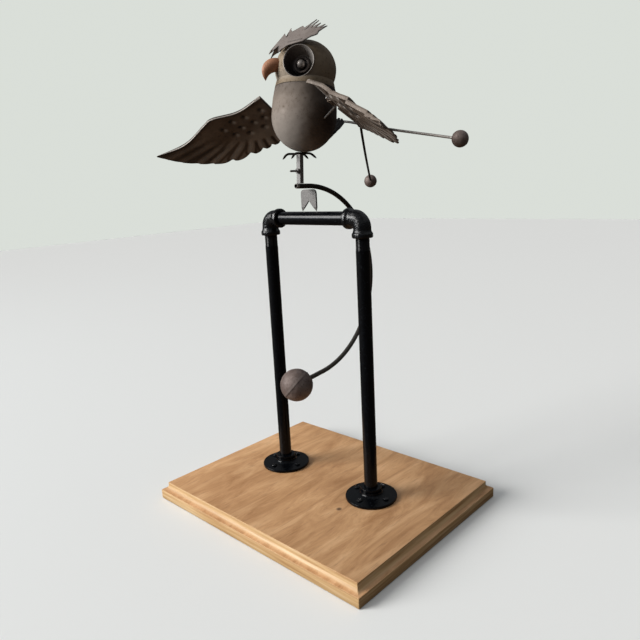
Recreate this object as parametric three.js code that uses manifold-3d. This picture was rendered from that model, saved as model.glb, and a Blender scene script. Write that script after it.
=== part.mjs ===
import * as THREE from 'three';
import { mergeVertices } from 'three/addons/utils/BufferGeometryUtils.js';
import Module from 'manifold-3d';

const wasm = await Module();
wasm.setup();

// All sizes in millimetres. X runs along the top bar toward the owl's own left,
// Y runs toward the back, Z is up, and the origin is the middle of the board's underside.
const gap = 0.3;

// Base board
const boardWidth = 452;
const boardDepth = 358;
const boardThick = 29;
const boardSide = 16;
const boardStep = 24.4;
const boardLip = 1.8;
const boardInset = 9.4;

// Pipe stand
const standX = -3.2;
const standY = 11.4;
const legSpacing = 199.6;
const barHeight = 477.2;
const pipeRadius = 10.65;
const pipeBore = 7.9;
const pipeSides = 20;
const socketRadius = pipeRadius + gap;
const flangeRadius = 42;
const flangeRim = 4.6;
const flangeCrown = 6.6;
const hubRadius = 16.4;
const hubHeight = 19;
const screwCircle = 30;
const screwRadius = 2.2;
const screwHead = 4.6;
const screwLength = 16;
const elbowReach = 28;
const elbowTurn = 15;
const elbowRadius = 13.4;
const elbowBand = 15.8;
const elbowBandWidth = 6;
const socketDepth = 12;

// Rocker that stands on two points on the bar
const rockerX = -7.9;
const pivotHeight = barHeight + pipeRadius + gap;
const pivotY = 10.5;
const tipSpread = 30.2;
const plateWidth = 32;
const plateTop = 522;
const notchTop = 505;
const plateThick = 3;
const plateCorner = 7;
const plateFlank = 4;
const tipHalf = 0.15;
const cutClear = 1;
const tipBevel = 7;
const tubeRadius = 3.8;
const tubeBore = 1.3;
const tubeNose = [-28.2, 40.2];
const tubeArcCentre = [-6, -114];
const tubeArcRadius = 153.5;
const tubeArcStart = 86;
const tubeArcEnd = -86;
const pendulumAt = [-52.4, -272.8];
const pendulumRadius = 26.5;

// Post, set screw and feet under the owl
const postWidth = 7.5;
const postFoot = [-6.9, 531.7];
const postHead = [-4.2, 577.6];
const setScrewHeight = 550.5;
const setScrewRadius = 1.6;
const setScrewLength = 17;
const setScrewNut = 3.7;
const setScrewNutHeight = 3;
const toeRadius = 1.7;
const toeSpread = 7.3;
const toeLevel = 576;

// Owl body and head, one leaning axis
const owlFoot = new THREE.Vector3(rockerX, 2.9, 578.4);
const owlLean = THREE.MathUtils.degToRad(7.4);
const bodyRadius = 49.7;
const bodyWaist = 52;
const bodyShoulder = 103;
const neckHeight = 102.6;
const bodyWall = 0.65;
const headRadius = 46;
const headCrown = 42.4;
const headAbove = 119.4;
const headWall = 0.65;
const headTurn = THREE.MathUtils.degToRad(27);
const eyeYaw = THREE.MathUtils.degToRad(57);
const eyeLift = THREE.MathUtils.degToRad(10);
const eyeRadius = 23.4;
const eyeWall = 0.8;
const eyeRim = 41.6;
const eyeFloor = 21;
const irisRadius = 12.2;
const irisBore = 8.6;
const irisHeight = 4;
const pupilRadius = 6.2;

// Beak, in the head's own forward and up directions
const beakTop = [[36, 14.5], [57, 24], [78, 4], [63.6, -15]];
const beakBottom = [[36, -1], [52, -3], [58, -4], [63, -15]];
const beakHalfWidth = 10;
const beakWall = 1.2;

// Crest plate
const crestFront = new THREE.Vector3(52, 7.5, 25);
const crestBack = new THREE.Vector3(-18, 37, 59);
const crestFacing = new THREE.Vector3(0.535, 0.521, 0.665);
const crestThick = 0.9;
const crestOffset = 48.4;
// Spots round one half: share of the length, then mm across
const crestFrontSpots = [[0.014, 2.5], [-0.011, -2.6], [0.118, 0.6], [0.064, -13], [0.136, -9]];
const crestOuterSpots = [[0.284, -7.7], [0.42, -12.3], [0.56, -16.8], [0.7, -17.4], [0.8, -20], [0.86, -16]];
const crestProngTips = [[1.021, -14.5], [1.008, -7.7], [0.951, 0.2], [0.947, 8.1], [0.925, 14.4]];
const crestSlits = [[0.893, -10.2], [0.82, -3.8], [0.76, 1.3], [0.651, 4.8], [0.675, 10.2]];
const crestBarbs = [[0.661, 17.5], [0.452, 18.1], [0.453, 28.4], [0.322, 9.6], [0.315, 23.2]];

// Tail fan
const tailRoot = [30.7, 590.4];
const tailRise = THREE.MathUtils.degToRad(35.4);
const tailLength = 68;
const tailCorner = 50;
const tailRootHalf = 21.6;
const tailHalf = 27.2;
const tailFeathers = 6;
const tailThick = 1.5;
const tailNotch = 3;
const tailTip = 1;
const tailTipShare = 0.4;
const tailEdge = 4;
const tailSlit = 0.02;

// Wings, in each wing's own plane: out along the span, forward along the hinge
const wingPeak = new THREE.Vector3(21.1, 52, 44.1);
const owlCentre = new THREE.Vector3(rockerX, -5, 620);
const hingeRise = THREE.MathUtils.degToRad(29.2);
const hingeToe = THREE.MathUtils.degToRad(-8.9);
const wingDroop = { left: THREE.MathUtils.degToRad(27.4), right: THREE.MathUtils.degToRad(30.7) };
const wingLeading = [[3.4, 2], [47, 0], [87, 14.4], [107, 11.8], [155, 0.5], [211, 8.3]];
const wingTrailing = [[211, 8.3], [189, -30.8], [152, -68.6], [121, -87.2], [66, -96.8], [3.4, -103.8]];
const wingFeathers = 10;
const featherNotch = 5;
const wingThick = 1.6;
const lipDepth = 5;
const lipThick = 1.2;
const knuckleRadius = 3.1;
const knuckleBore = 1.65;
const knuckleFrom = -46;
const knuckleTo = -34;
const pinRadius = 1.3;
const pinFrom = -29;
const pinTo = -50;
const strutHeight = 43.6;
const strutTurn = THREE.MathUtils.degToRad(-9.5);

// Counterweights on the wings, in the owl's forward, left and up directions
const rodRadius = 1.8;
const rodInset = 9;
const rodSeats = [-62, -86, -106];
const rodSides = 6;
const weights = {
  left: {
    radius: 13,
    at: new THREE.Vector3(-330.6, -125.6, -91.2),
    bends: [new THREE.Vector3(-95, 45, -10), new THREE.Vector3(-139, 15, -38)],
  },
  right: {
    radius: 11.9,
    at: new THREE.Vector3(-98.6, 218.4, -38.8),
    bends: [
      new THREE.Vector3(-116, -66, 8), new THREE.Vector3(-141, -36, 11), new THREE.Vector3(-130, 47, -6.5),
    ],
  },
};

const boardFinish = finish(0xc79a66, 0.6, 0);
const pipeFinish = finish(0x14171a, 0.35, 0.4);
const screwFinish = finish(0x1c1f22, 0.45, 0.6);
const rustFinish = finish(0x4a3a33, 0.75, 0.5);
const paleFinish = finish(0x9c948c, 0.6, 0.5);
const beakFinish = finish(0x9a5a3c, 0.7, 0.2);

function finish(color, roughness, metalness) {
  return { color, roughness, metalness };
}

// Shared shaping

function outward(geometry) {
  const position = geometry.attributes.position;
  const corners = [new THREE.Vector3(), new THREE.Vector3(), new THREE.Vector3()];
  const index = Array.from(geometry.index.array);
  let volume = 0;
  for (let i = 0; i < index.length; i += 3) {
    corners.forEach((corner, k) => corner.fromBufferAttribute(position, index[i + k]));
    volume += corners[0].dot(corners[1].cross(corners[2]));
  }
  if (volume < 0) {
    for (let i = 0; i < index.length; i += 3) {
      [index[i], index[i + 1]] = [index[i + 1], index[i]];
    }
    geometry.setIndex(index);
  }
  return geometry;
}

function welded(geometry) {
  const bare = geometry.clone();
  bare.deleteAttribute('normal');
  bare.deleteAttribute('uv');
  const joined = mergeVertices(bare, 0.0005);
  const kept = [];
  const index = joined.index.array;
  for (let i = 0; i < index.length; i += 3) {
    const [a, b, c] = [index[i], index[i + 1], index[i + 2]];
    if (a !== b && b !== c && c !== a) kept.push(a, b, c);
  }
  joined.setIndex(kept);
  return outward(joined);
}

function solidOf(geometry) {
  const clean = welded(geometry);
  return new wasm.Manifold(new wasm.Mesh({
    numProp: 3,
    vertProperties: new Float32Array(clean.attributes.position.array),
    triVerts: new Uint32Array(clean.index.array),
  }));
}

function geometryOf(solid) {
  const mesh = solid.getMesh();
  const geometry = new THREE.BufferGeometry();
  geometry.setAttribute('position', new THREE.BufferAttribute(new Float32Array(mesh.vertProperties), 3));
  geometry.setIndex(new THREE.BufferAttribute(new Uint32Array(mesh.triVerts), 1));
  return geometry;
}

function piece(name, geometry, look) {
  const clean = welded(geometry);
  clean.computeVertexNormals();
  const mesh = new THREE.Mesh(clean, new THREE.MeshStandardMaterial(look));
  mesh.name = name;
  return mesh;
}

// A profile of radius and height pairs turned about Z
function turned(profile, sides) {
  const points = profile.map(([radius, height]) => new THREE.Vector2(radius, height));
  return new THREE.LatheGeometry(points, sides).rotateX(Math.PI / 2);
}

function rod(radius, from, to, sides) {
  return turned([[0, from], [radius, from], [radius, to], [0, to]], sides);
}

function pipe(radius, bore, from, to, sides) {
  return turned([[bore, from], [radius, from], [radius, to], [bore, to], [bore, from]], sides);
}

function circle(radius, sides) {
  const points = [];
  for (let i = 0; i < sides; i += 1) {
    const angle = (2 * Math.PI * i) / sides;
    points.push(new THREE.Vector2(radius * Math.cos(angle), radius * Math.sin(angle)));
  }
  return points;
}

function swept(path, radius, sides, steps, bore = 0) {
  const shape = new THREE.Shape(circle(radius, sides));
  if (bore > 0) shape.holes.push(new THREE.Path(circle(bore, sides)));
  return new THREE.ExtrudeGeometry(shape, { steps, extrudePath: path, bevelEnabled: false });
}

// A wire through corner points with each corner rounded
function bentWire(corners, bend) {
  const path = new THREE.CurvePath();
  let from = corners[0];
  for (let i = 1; i < corners.length - 1; i += 1) {
    const before = corners[i].clone().lerp(corners[i - 1], bend / corners[i].distanceTo(corners[i - 1]));
    const after = corners[i].clone().lerp(corners[i + 1], bend / corners[i].distanceTo(corners[i + 1]));
    path.add(new THREE.LineCurve3(from, before));
    path.add(new THREE.QuadraticBezierCurve3(before, corners[i], after));
    from = after;
  }
  path.add(new THREE.LineCurve3(from, corners[corners.length - 1]));
  return path;
}

// Rings of equal point count skinned into a closed solid
function loft(rings) {
  const count = rings[0].length;
  const points = rings.flat();
  const index = [];
  for (let i = 0; i < rings.length - 1; i += 1) {
    for (let k = 0; k < count; k += 1) {
      const a = i * count + k;
      const b = i * count + ((k + 1) % count);
      index.push(a, b, b + count, a, b + count, a + count);
    }
  }
  const last = (rings.length - 1) * count;
  for (let k = 1; k < count - 1; k += 1) {
    index.push(0, k + 1, k, last, last + k, last + k + 1);
  }
  const geometry = new THREE.BufferGeometry().setFromPoints(points);
  geometry.setIndex(index);
  return geometry;
}

function sheet(outline, thick) {
  const geometry = new THREE.ExtrudeGeometry(new THREE.Shape(outline), { depth: thick, bevelEnabled: false });
  return geometry.translate(0, 0, -thick / 2);
}

// Stand

function baseBoard() {
  const levels = [[0, 0], [boardSide, 0], [boardSide, boardLip]];
  const coveSteps = 4;
  for (let i = 1; i <= coveSteps; i += 1) {
    const turn = (Math.PI / 2) * (i / coveSteps);
    const inset = boardLip + (boardInset - boardLip) * Math.sin(turn);
    levels.push([boardSide + (boardStep - boardSide) * (1 - Math.cos(turn)), inset]);
  }
  levels.push([boardThick, boardInset]);
  const rings = levels.map(([height, inset]) => {
    const x = boardWidth / 2 - inset;
    const y = boardDepth / 2 - inset;
    return [[-x, -y], [x, -y], [x, y], [-x, y]].map(([px, py]) => new THREE.Vector3(px, py, height));
  });
  let board = solidOf(loft(rings));
  for (const side of [-1, 1]) {
    for (const [x, y] of screwSpots(side)) {
      const hole = rod(screwRadius + 0.4, boardThick - screwLength + 5, boardThick + 1, 8);
      board = board.subtract(solidOf(hole.translate(x, y, 0)));
    }
  }
  return piece('base_board', geometryOf(board), boardFinish);
}

function legX(side) {
  return standX + (side * legSpacing) / 2;
}

function screwSpots(side) {
  return [0, 1, 2, 3].map((quarter) => {
    const angle = (quarter * Math.PI) / 2;
    return [legX(side) + screwCircle * Math.cos(angle), standY + screwCircle * Math.sin(angle)];
  });
}

function floorFlange(name, side) {
  const profile = [
    [socketRadius, 0], [flangeRadius - 1, 0], [flangeRadius, 1], [flangeRadius, flangeRim],
    [hubRadius + 4, flangeCrown], [hubRadius, flangeCrown + 4], [hubRadius, hubHeight],
    [socketRadius, hubHeight], [socketRadius, 0],
  ];
  const place = boardThick + gap;
  let flange = solidOf(turned(profile, 24).translate(legX(side), standY, place));
  for (const [x, y] of screwSpots(side)) {
    flange = flange.subtract(solidOf(rod(screwRadius + 0.4, place - 2, place + 10, 8).translate(x, y, 0)));
  }
  return piece(name, geometryOf(flange), pipeFinish);
}

function flangeScrew(name, x, y) {
  const seat = flangeCrown;
  const profile = [
    [0, seat - screwLength], [screwRadius, seat - screwLength + 2], [screwRadius, seat], [screwHead, seat],
    [screwHead * 0.8, seat + 1.9], [screwHead * 0.35, seat + 2.7], [0, seat + 2.8],
  ];
  const screw = piece(name, turned(profile, 6), screwFinish);
  screw.position.set(x, y, boardThick + gap);
  return screw;
}

function legPipe(name, side) {
  const from = boardThick + gap + 2;
  const to = barHeight - elbowReach + socketDepth - gap;
  const leg = piece(name, pipe(pipeRadius, pipeBore, from, to, pipeSides), pipeFinish);
  leg.position.set(legX(side), standY, 0);
  return leg;
}

// One arm looks down, the other toward +X
function elbow(name, side) {
  const arm = turned([
    [0, -elbowReach], [elbowBand - 0.6, -elbowReach], [elbowBand, -elbowReach + 1],
    [elbowBand, -elbowReach + elbowBandWidth], [elbowRadius + 0.6, -elbowReach + elbowBandWidth + 2],
    [elbowRadius, -elbowTurn], [0, -elbowTurn],
  ], 16);
  const toBar = new THREE.Matrix4().makeRotationY(-Math.PI / 2);
  const hollow = rod(socketRadius, -elbowReach - 1, -elbowReach + socketDepth, 16);
  const turn = new THREE.QuadraticBezierCurve3(
    new THREE.Vector3(0, 0, -elbowTurn - 1),
    new THREE.Vector3(0, 0, 0),
    new THREE.Vector3(elbowTurn + 1, 0, 0),
  );
  const way = bentWire([
    new THREE.Vector3(0, 0, -elbowReach + socketDepth - 1),
    new THREE.Vector3(0, 0, 0),
    new THREE.Vector3(elbowReach - socketDepth + 1, 0, 0),
  ], elbowTurn - 1);
  const shell = solidOf(arm)
    .add(solidOf(arm.clone().applyMatrix4(toBar)))
    .add(solidOf(swept(turn, elbowRadius, 16, 5)))
    .subtract(solidOf(hollow))
    .subtract(solidOf(hollow.clone().applyMatrix4(toBar)))
    .subtract(solidOf(swept(way, pipeBore, 8, 5)));
  const fitting = piece(name, geometryOf(shell), pipeFinish);
  fitting.position.set(legX(side), standY, barHeight);
  fitting.rotation.z = side > 0 ? Math.PI : 0;
  return fitting;
}

function barPipe() {
  const half = legSpacing / 2 - elbowReach + socketDepth - gap;
  const bar = piece('bar_pipe', pipe(pipeRadius, pipeBore, -half, half, pipeSides), pipeFinish);
  bar.position.set(standX, standY, barHeight);
  bar.rotation.y = Math.PI / 2;
  return bar;
}

// Rocker

function pivotPlate() {
  const half = plateWidth / 2;
  const tip = tipSpread / 2;
  const outline = new THREE.Shape();
  outline.moveTo(-tip, pivotHeight);
  outline.lineTo(0, notchTop);
  outline.lineTo(tip, pivotHeight);
  outline.lineTo(half, pivotHeight + plateFlank);
  outline.lineTo(half, plateTop - plateCorner);
  outline.quadraticCurveTo(half, plateTop, half - plateCorner, plateTop);
  outline.lineTo(-half + plateCorner, plateTop);
  outline.quadraticCurveTo(-half, plateTop, -half, plateTop - plateCorner);
  outline.lineTo(-half, pivotHeight + plateFlank);
  const flat = new THREE.ExtrudeGeometry(outline, {
    depth: plateThick, bevelEnabled: false, curveSegments: 4,
  });
  let plate = solidOf(flat.translate(0, 0, -plateThick / 2).rotateX(Math.PI / 2));
  for (const face of [-1, 1]) {
    const wedge = new THREE.Shape([
      new THREE.Vector2(face * tipHalf, pivotHeight),
      new THREE.Vector2(face * (plateThick / 2 + cutClear / 10), pivotHeight + tipBevel),
      new THREE.Vector2(face * plateThick, pivotHeight + tipBevel),
      new THREE.Vector2(face * plateThick, pivotHeight - cutClear),
      new THREE.Vector2(face * tipHalf, pivotHeight - cutClear),
    ]);
    const bar = new THREE.ExtrudeGeometry(wedge, { depth: plateWidth + 2 * cutClear, bevelEnabled: false });
    bar.translate(0, 0, -plateWidth / 2 - cutClear);
    const stand = new THREE.Matrix4().makeBasis(
      new THREE.Vector3(0, 1, 0), new THREE.Vector3(0, 0, 1), new THREE.Vector3(1, 0, 0),
    );
    plate = plate.subtract(solidOf(bar.applyMatrix4(stand)));
  }
  const geometry = geometryOf(plate).translate(rockerX, pivotY, 0);
  return piece('pivot_plate', geometry, paleFinish);
}

// From a forward-back and up pair measured at the bar's top ridge
function fromPivot([back, up]) {
  return new THREE.Vector3(rockerX, standY + back, pivotHeight - gap + up);
}

function rockerTube() {
  const points = [];
  const nose = fromPivot(tubeNose);
  const arcSteps = 24;
  for (let i = 0; i <= arcSteps; i += 1) {
    const angle = THREE.MathUtils.degToRad(tubeArcStart + ((tubeArcEnd - tubeArcStart) * i) / arcSteps);
    points.push(fromPivot([
      tubeArcCentre[0] + tubeArcRadius * Math.cos(angle),
      tubeArcCentre[1] + tubeArcRadius * Math.sin(angle),
    ]));
  }
  const ball = fromPivot(pendulumAt);
  const end = points[points.length - 1].clone().sub(ball).setLength(pendulumRadius + gap).add(ball);
  const path = new THREE.CurvePath();
  path.add(new THREE.LineCurve3(nose, points[0]));
  path.add(new THREE.CatmullRomCurve3(points));
  path.add(new THREE.LineCurve3(points[points.length - 1], end));
  return piece('rocker_tube', swept(path, tubeRadius, 8, 28, tubeBore), rustFinish);
}

function pendulumBall() {
  const ball = piece('pendulum_ball', new THREE.SphereGeometry(pendulumRadius, 18, 11), rustFinish);
  ball.position.copy(fromPivot(pendulumAt));
  return ball;
}

function post() {
  const foot = new THREE.Vector3(rockerX, postFoot[0], postFoot[1]);
  const head = new THREE.Vector3(rockerX, postHead[0], postHead[1]);
  const half = postWidth / 2;
  const rings = [foot, head].map((centre) => [[-1, -1], [1, -1], [1, 1], [-1, 1]].map(
    ([x, y]) => new THREE.Vector3(centre.x + x * half, centre.y + y * half, centre.z),
  ));
  return piece('owl_post', loft(rings), paleFinish);
}

function setScrew() {
  const share = (setScrewHeight - postFoot[1]) / (postHead[1] - postFoot[1]);
  const face = postFoot[0] + (postHead[0] - postFoot[0]) * share - postWidth / 2 - 2 * gap;
  const profile = [
    [0, 0], [setScrewNut, 0], [setScrewNut, setScrewNutHeight],
    [setScrewRadius, setScrewNutHeight], [setScrewRadius, setScrewLength], [0, setScrewLength],
  ];
  const screw = piece('set_screw', turned(profile, 8), paleFinish);
  screw.rotation.x = Math.PI / 2;
  screw.position.set(rockerX, face, setScrewHeight);
  return screw;
}

function foot(name, side) {
  const x = rockerX + side * toeSpread;
  const path = bentWire([
    new THREE.Vector3(x + side * 2, -32, toeLevel - 8),
    new THREE.Vector3(x + side * 1.5, -23, toeLevel),
    new THREE.Vector3(x, 12, toeLevel),
    new THREE.Vector3(x + side * 1.5, 23, toeLevel - 7.5),
  ], 5);
  return piece(name, swept(path, toeRadius, 6, 14), rustFinish);
}

// Owl

function onAxis(geometry) {
  return geometry.rotateX(-owlLean).translate(owlFoot.x, owlFoot.y, owlFoot.z);
}

function bodyAt(height, shrink = 0) {
  const centre = bodyWaist;
  const half = height < centre ? bodyWaist : bodyShoulder;
  const ratio = (height - centre) / (half - shrink);
  return (bodyRadius - shrink) * Math.sqrt(Math.max(0, 1 - ratio * ratio));
}

function bodyCurve(shrink, steps, upper) {
  const points = [];
  for (let i = 0; i <= steps; i += 1) {
    const turn = (Math.PI / 2) * (i / steps);
    const height = bodyWaist - (bodyWaist - shrink) * Math.cos(turn);
    points.push([i === 0 ? 0 : (bodyRadius - shrink) * Math.sin(turn), height]);
  }
  for (let i = 1; i <= upper; i += 1) {
    const height = bodyWaist + ((neckHeight - bodyWaist) * i) / upper;
    points.push([bodyAt(height, shrink), height]);
  }
  return points;
}

function bodyShell() {
  const outer = bodyCurve(0, 7, 4);
  const inner = bodyCurve(bodyWall, 5, 3).reverse();
  const shell = withoutEyes(solidOf(onAxis(turned(outer.concat(inner), 24))));
  return piece('body_shell', geometryOf(shell), rustFinish);
}

function bodyMass(grow) {
  const outline = bodyCurve(-grow, 9, 5);
  return solidOf(onAxis(turned(outline.concat([[0, neckHeight]]), 32)));
}

const headCentre = owlFoot.clone().add(
  new THREE.Vector3(0, Math.sin(owlLean), Math.cos(owlLean)).multiplyScalar(headAbove),
);

// The head's own forward, left and up directions, placed in the whole object
const headFrame = new THREE.Matrix4().makeBasis(
  new THREE.Vector3(-Math.sin(headTurn), -Math.cos(headTurn), 0),
  new THREE.Vector3(Math.cos(headTurn), -Math.sin(headTurn), 0),
  new THREE.Vector3(0, 0, 1),
).setPosition(headCentre);

function eyeFrame(side) {
  const axis = new THREE.Vector3(
    Math.cos(eyeYaw) * Math.cos(eyeLift), side * Math.sin(eyeYaw) * Math.cos(eyeLift), Math.sin(eyeLift),
  );
  const turn = new THREE.Quaternion().setFromUnitVectors(new THREE.Vector3(0, 0, 1), axis);
  return headFrame.clone().multiply(new THREE.Matrix4().makeRotationFromQuaternion(turn));
}

// Both eye cups pass through the head and just clip the neck below it
function withoutEyes(shell) {
  let open = shell;
  for (const side of [-1, 1]) {
    const hole = rod(eyeRadius + gap + 0.1, eyeFloor - 4, headRadius + 4, 24);
    open = open.subtract(solidOf(hole.applyMatrix4(eyeFrame(side))));
  }
  return open;
}

function headShell() {
  const cut = neckHeight + gap - headAbove;
  const lowest = Math.asin(cut / headRadius);
  const arc = (radius, steps) => {
    const start = Math.asin(cut / radius);
    const points = [];
    for (let i = 0; i <= steps; i += 1) {
      const angle = start + (Math.PI / 2 - start) * (i / steps);
      const tall = angle > 0 ? radius + headCrown - headRadius : radius;
      points.push([i === steps ? 0 : radius * Math.cos(angle), tall * Math.sin(angle)]);
    }
    return points;
  };
  const profile = arc(headRadius, 8).concat(arc(headRadius - headWall, 6).reverse());
  profile.push([headRadius * Math.cos(lowest), cut]);
  const shell = withoutEyes(solidOf(onAxis(turned(profile, 24).translate(0, 0, headAbove))));
  return piece('head_shell', geometryOf(shell), rustFinish);
}

function eyeCup(name, side) {
  const profile = [
    [0, eyeFloor - eyeWall], [eyeRadius - 1, eyeFloor - eyeWall], [eyeRadius, eyeFloor], [eyeRadius, eyeRim],
    [eyeRadius - eyeWall, eyeRim], [eyeRadius - eyeWall, eyeFloor], [0, eyeFloor],
  ];
  return piece(name, turned(profile, 24).applyMatrix4(eyeFrame(side)), rustFinish);
}

function irisRing(name, side) {
  const from = eyeFloor + gap;
  const ring = pipe(irisRadius, irisBore, from, from + irisHeight, 16);
  return piece(name, ring.applyMatrix4(eyeFrame(side)), rustFinish);
}

function pupil(name, side) {
  const ball = new THREE.SphereGeometry(pupilRadius, 10, 8);
  ball.translate(0, 0, eyeFloor + gap + pupilRadius);
  return piece(name, ball.applyMatrix4(eyeFrame(side)), paleFinish);
}

function beakBody(inset, sides) {
  const bezier = (points) => new THREE.CubicBezierCurve(...points.map(([x, y]) => new THREE.Vector2(x, y)));
  const top = bezier(beakTop);
  const bottom = bezier(beakBottom);
  const steps = 8;
  const rings = [];
  for (let i = 0; i <= steps; i += 1) {
    const share = i / steps;
    const upper = top.getPoint(share);
    const lower = bottom.getPoint(share);
    const middle = upper.clone().add(lower).multiplyScalar(0.5);
    const across = upper.clone().sub(lower).multiplyScalar(0.5);
    const tall = Math.max(across.length() - inset, 0.25);
    across.setLength(tall);
    const wide = Math.max(beakHalfWidth * (1 - share ** 1.7) - inset, 0.25);
    rings.push(circle(1, sides).map((spot) => new THREE.Vector3(
      middle.x + across.x * spot.y, wide * spot.x, middle.y + across.y * spot.y,
    )));
  }
  return loft(rings);
}

function beak() {
  const ball = new THREE.SphereGeometry(headRadius + gap, 32, 20);
  const shape = solidOf(beakBody(0, 10)).subtract(solidOf(beakBody(beakWall, 8).translate(-2, 0, 0)));
  const cut = shape.subtract(solidOf(ball));
  return piece('beak', geometryOf(cut).applyMatrix4(headFrame), beakFinish);
}

// One feather-cut half of the crest: front prongs, outer edge, back prongs with slits, inner barbs
function crestOutline(length) {
  const backEnd = crestProngTips.flatMap((tip, i) => [tip, crestSlits[i]]);
  const spots = [...crestFrontSpots, ...crestOuterSpots, ...backEnd, ...crestBarbs];
  return spots.map(([share, across]) => new THREE.Vector2(length * share, across));
}

function crest() {
  const along = crestBack.clone().sub(crestFront);
  const length = along.length();
  along.normalize();
  const facing = crestFacing.clone().normalize();
  facing.addScaledVector(along, -facing.dot(along)).normalize();
  const across = facing.clone().cross(along);
  const seat = crestFront.clone().addScaledVector(facing, crestOffset - crestFront.dot(facing));
  const place = new THREE.Matrix4().makeBasis(along, across, facing).setPosition(seat);
  const half = sheet(crestOutline(length), crestThick).applyMatrix4(place);
  const other = half.clone().applyMatrix4(new THREE.Matrix4().makeScale(1, -1, 1));
  const plate = solidOf(half).add(solidOf(other));
  return piece('crest', geometryOf(plate).applyMatrix4(headFrame), paleFinish);
}

function tail() {
  const points = [new THREE.Vector2(0, -tailRootHalf)];
  for (let i = 0; i < tailFeathers; i += 1) {
    const from = -1 + (2 * i) / tailFeathers;
    const to = -1 + (2 * (i + 1)) / tailFeathers;
    const reach = (share) => tailLength - (tailLength - tailCorner) * share * share;
    const tipAcross = tailHalf * (from + (to - from) * tailTipShare);
    points.push(new THREE.Vector2(reach(from) - tailNotch, tailHalf * from));
    points.push(new THREE.Vector2(reach((from + to) / 2) + tailTip, tipAcross));
    points.push(new THREE.Vector2(reach(to) - tailEdge, tailHalf * (to - tailSlit)));
  }
  points.push(new THREE.Vector2(0, tailRootHalf));
  const place = new THREE.Matrix4().makeBasis(
    new THREE.Vector3(0, Math.cos(tailRise), Math.sin(tailRise)),
    new THREE.Vector3(1, 0, 0),
    new THREE.Vector3(0, Math.sin(tailRise), -Math.cos(tailRise)),
  ).setPosition(rockerX, tailRoot[0], tailRoot[1]);
  const fan = solidOf(sheet(points, tailThick).applyMatrix4(place)).subtract(bodyMass(gap));
  return piece('tail', geometryOf(fan), rustFinish);
}

// Wings

function wingSide(side) {
  return side > 0 ? 'left' : 'right';
}

// Owl directions forward, left and up to the object's own axes
function owlPoint(spot) {
  return new THREE.Vector3(owlCentre.x + spot.y, owlCentre.y - spot.x, owlCentre.z + spot.z);
}

function hingeDirection() {
  return new THREE.Vector3(
    Math.cos(hingeRise) * Math.cos(hingeToe), Math.cos(hingeRise) * Math.sin(hingeToe), Math.sin(hingeRise),
  );
}

// Out along the span, forward along the hinge, then up off the wing
function wingFrame(side) {
  const droop = wingDroop[wingSide(side)];
  const hinge = hingeDirection();
  const level = new THREE.Vector3(0, 1, 0);
  level.addScaledVector(hinge, -level.dot(hinge)).normalize();
  const raised = hinge.clone().cross(level);
  const span = level.clone().multiplyScalar(Math.cos(droop)).addScaledVector(raised, -Math.sin(droop));
  const face = level.clone().multiplyScalar(Math.sin(droop)).addScaledVector(raised, Math.cos(droop));
  const toObject = (axis) => new THREE.Vector3(side * axis.y, -axis.x, axis.z);
  const origin = owlPoint(new THREE.Vector3(wingPeak.x, side * wingPeak.y, wingPeak.z));
  return new THREE.Matrix4().makeBasis(toObject(span), toObject(hinge), toObject(face)).setPosition(origin);
}

function curveThrough(pairs) {
  return new THREE.SplineCurve(pairs.map(([x, y]) => new THREE.Vector2(x, y)));
}

function wingOutline() {
  const points = curveThrough(wingLeading).getSpacedPoints(14);
  const edge = curveThrough(wingTrailing);
  const lobe = [0.12, 0.4, 0.72, 0.97];
  const root = new THREE.Vector2(40, 20);
  for (let i = 0; i < wingFeathers; i += 1) {
    for (const share of lobe) {
      const spot = edge.getPointAt((i + share) / wingFeathers);
      const inward = root.clone().sub(spot).normalize();
      const cut = featherNotch * (share > 0.9 ? 1 : (share - 0.45) ** 2);
      points.push(spot.addScaledVector(inward, cut));
    }
  }
  points.push(new THREE.Vector2(wingTrailing[5][0], wingTrailing[5][1]));
  return points;
}

// Folded lip that hangs from the leading edge and the root edge
function lip(points) {
  const inner = points.map((spot, i) => {
    const before = points[Math.max(0, i - 1)];
    const after = points[Math.min(points.length - 1, i + 1)];
    const along = after.clone().sub(before).normalize();
    return spot.clone().add(new THREE.Vector2(along.y, -along.x).multiplyScalar(lipThick));
  });
  const ribbon = new THREE.Shape(points.concat(inner.reverse()));
  const wall = new THREE.ExtrudeGeometry(ribbon, { depth: lipDepth, bevelEnabled: false });
  return wall.translate(0, 0, -lipDepth + wingThick / 2);
}

function wing(name, side) {
  const leading = curveThrough(wingLeading).getSpacedPoints(14);
  const rootFoot = new THREE.Vector2(wingTrailing[5][0], wingTrailing[5][1] + 8);
  const rootEdge = [rootFoot, new THREE.Vector2(wingLeading[0][0], wingLeading[0][1])];
  const knuckle = pipe(knuckleRadius, knuckleBore, knuckleFrom, knuckleTo, 10).rotateX(-Math.PI / 2);
  const tab = new THREE.BoxGeometry(4, knuckleTo - knuckleFrom, wingThick);
  tab.translate(knuckleBore + 0.6 + 2, (knuckleFrom + knuckleTo) / 2, 0);
  const bore = rod(knuckleBore, knuckleFrom - 1, knuckleTo + 1, 10).rotateX(-Math.PI / 2);
  const shape = solidOf(sheet(wingOutline(), wingThick))
    .add(solidOf(lip(leading)))
    .add(solidOf(lip(rootEdge)))
    .add(solidOf(tab))
    .add(solidOf(knuckle))
    .subtract(solidOf(bore));
  const geometry = geometryOf(shape);
  if (side < 0) geometry.index.array.reverse();
  return piece(name, geometry.applyMatrix4(wingFrame(side)), rustFinish);
}

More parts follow.
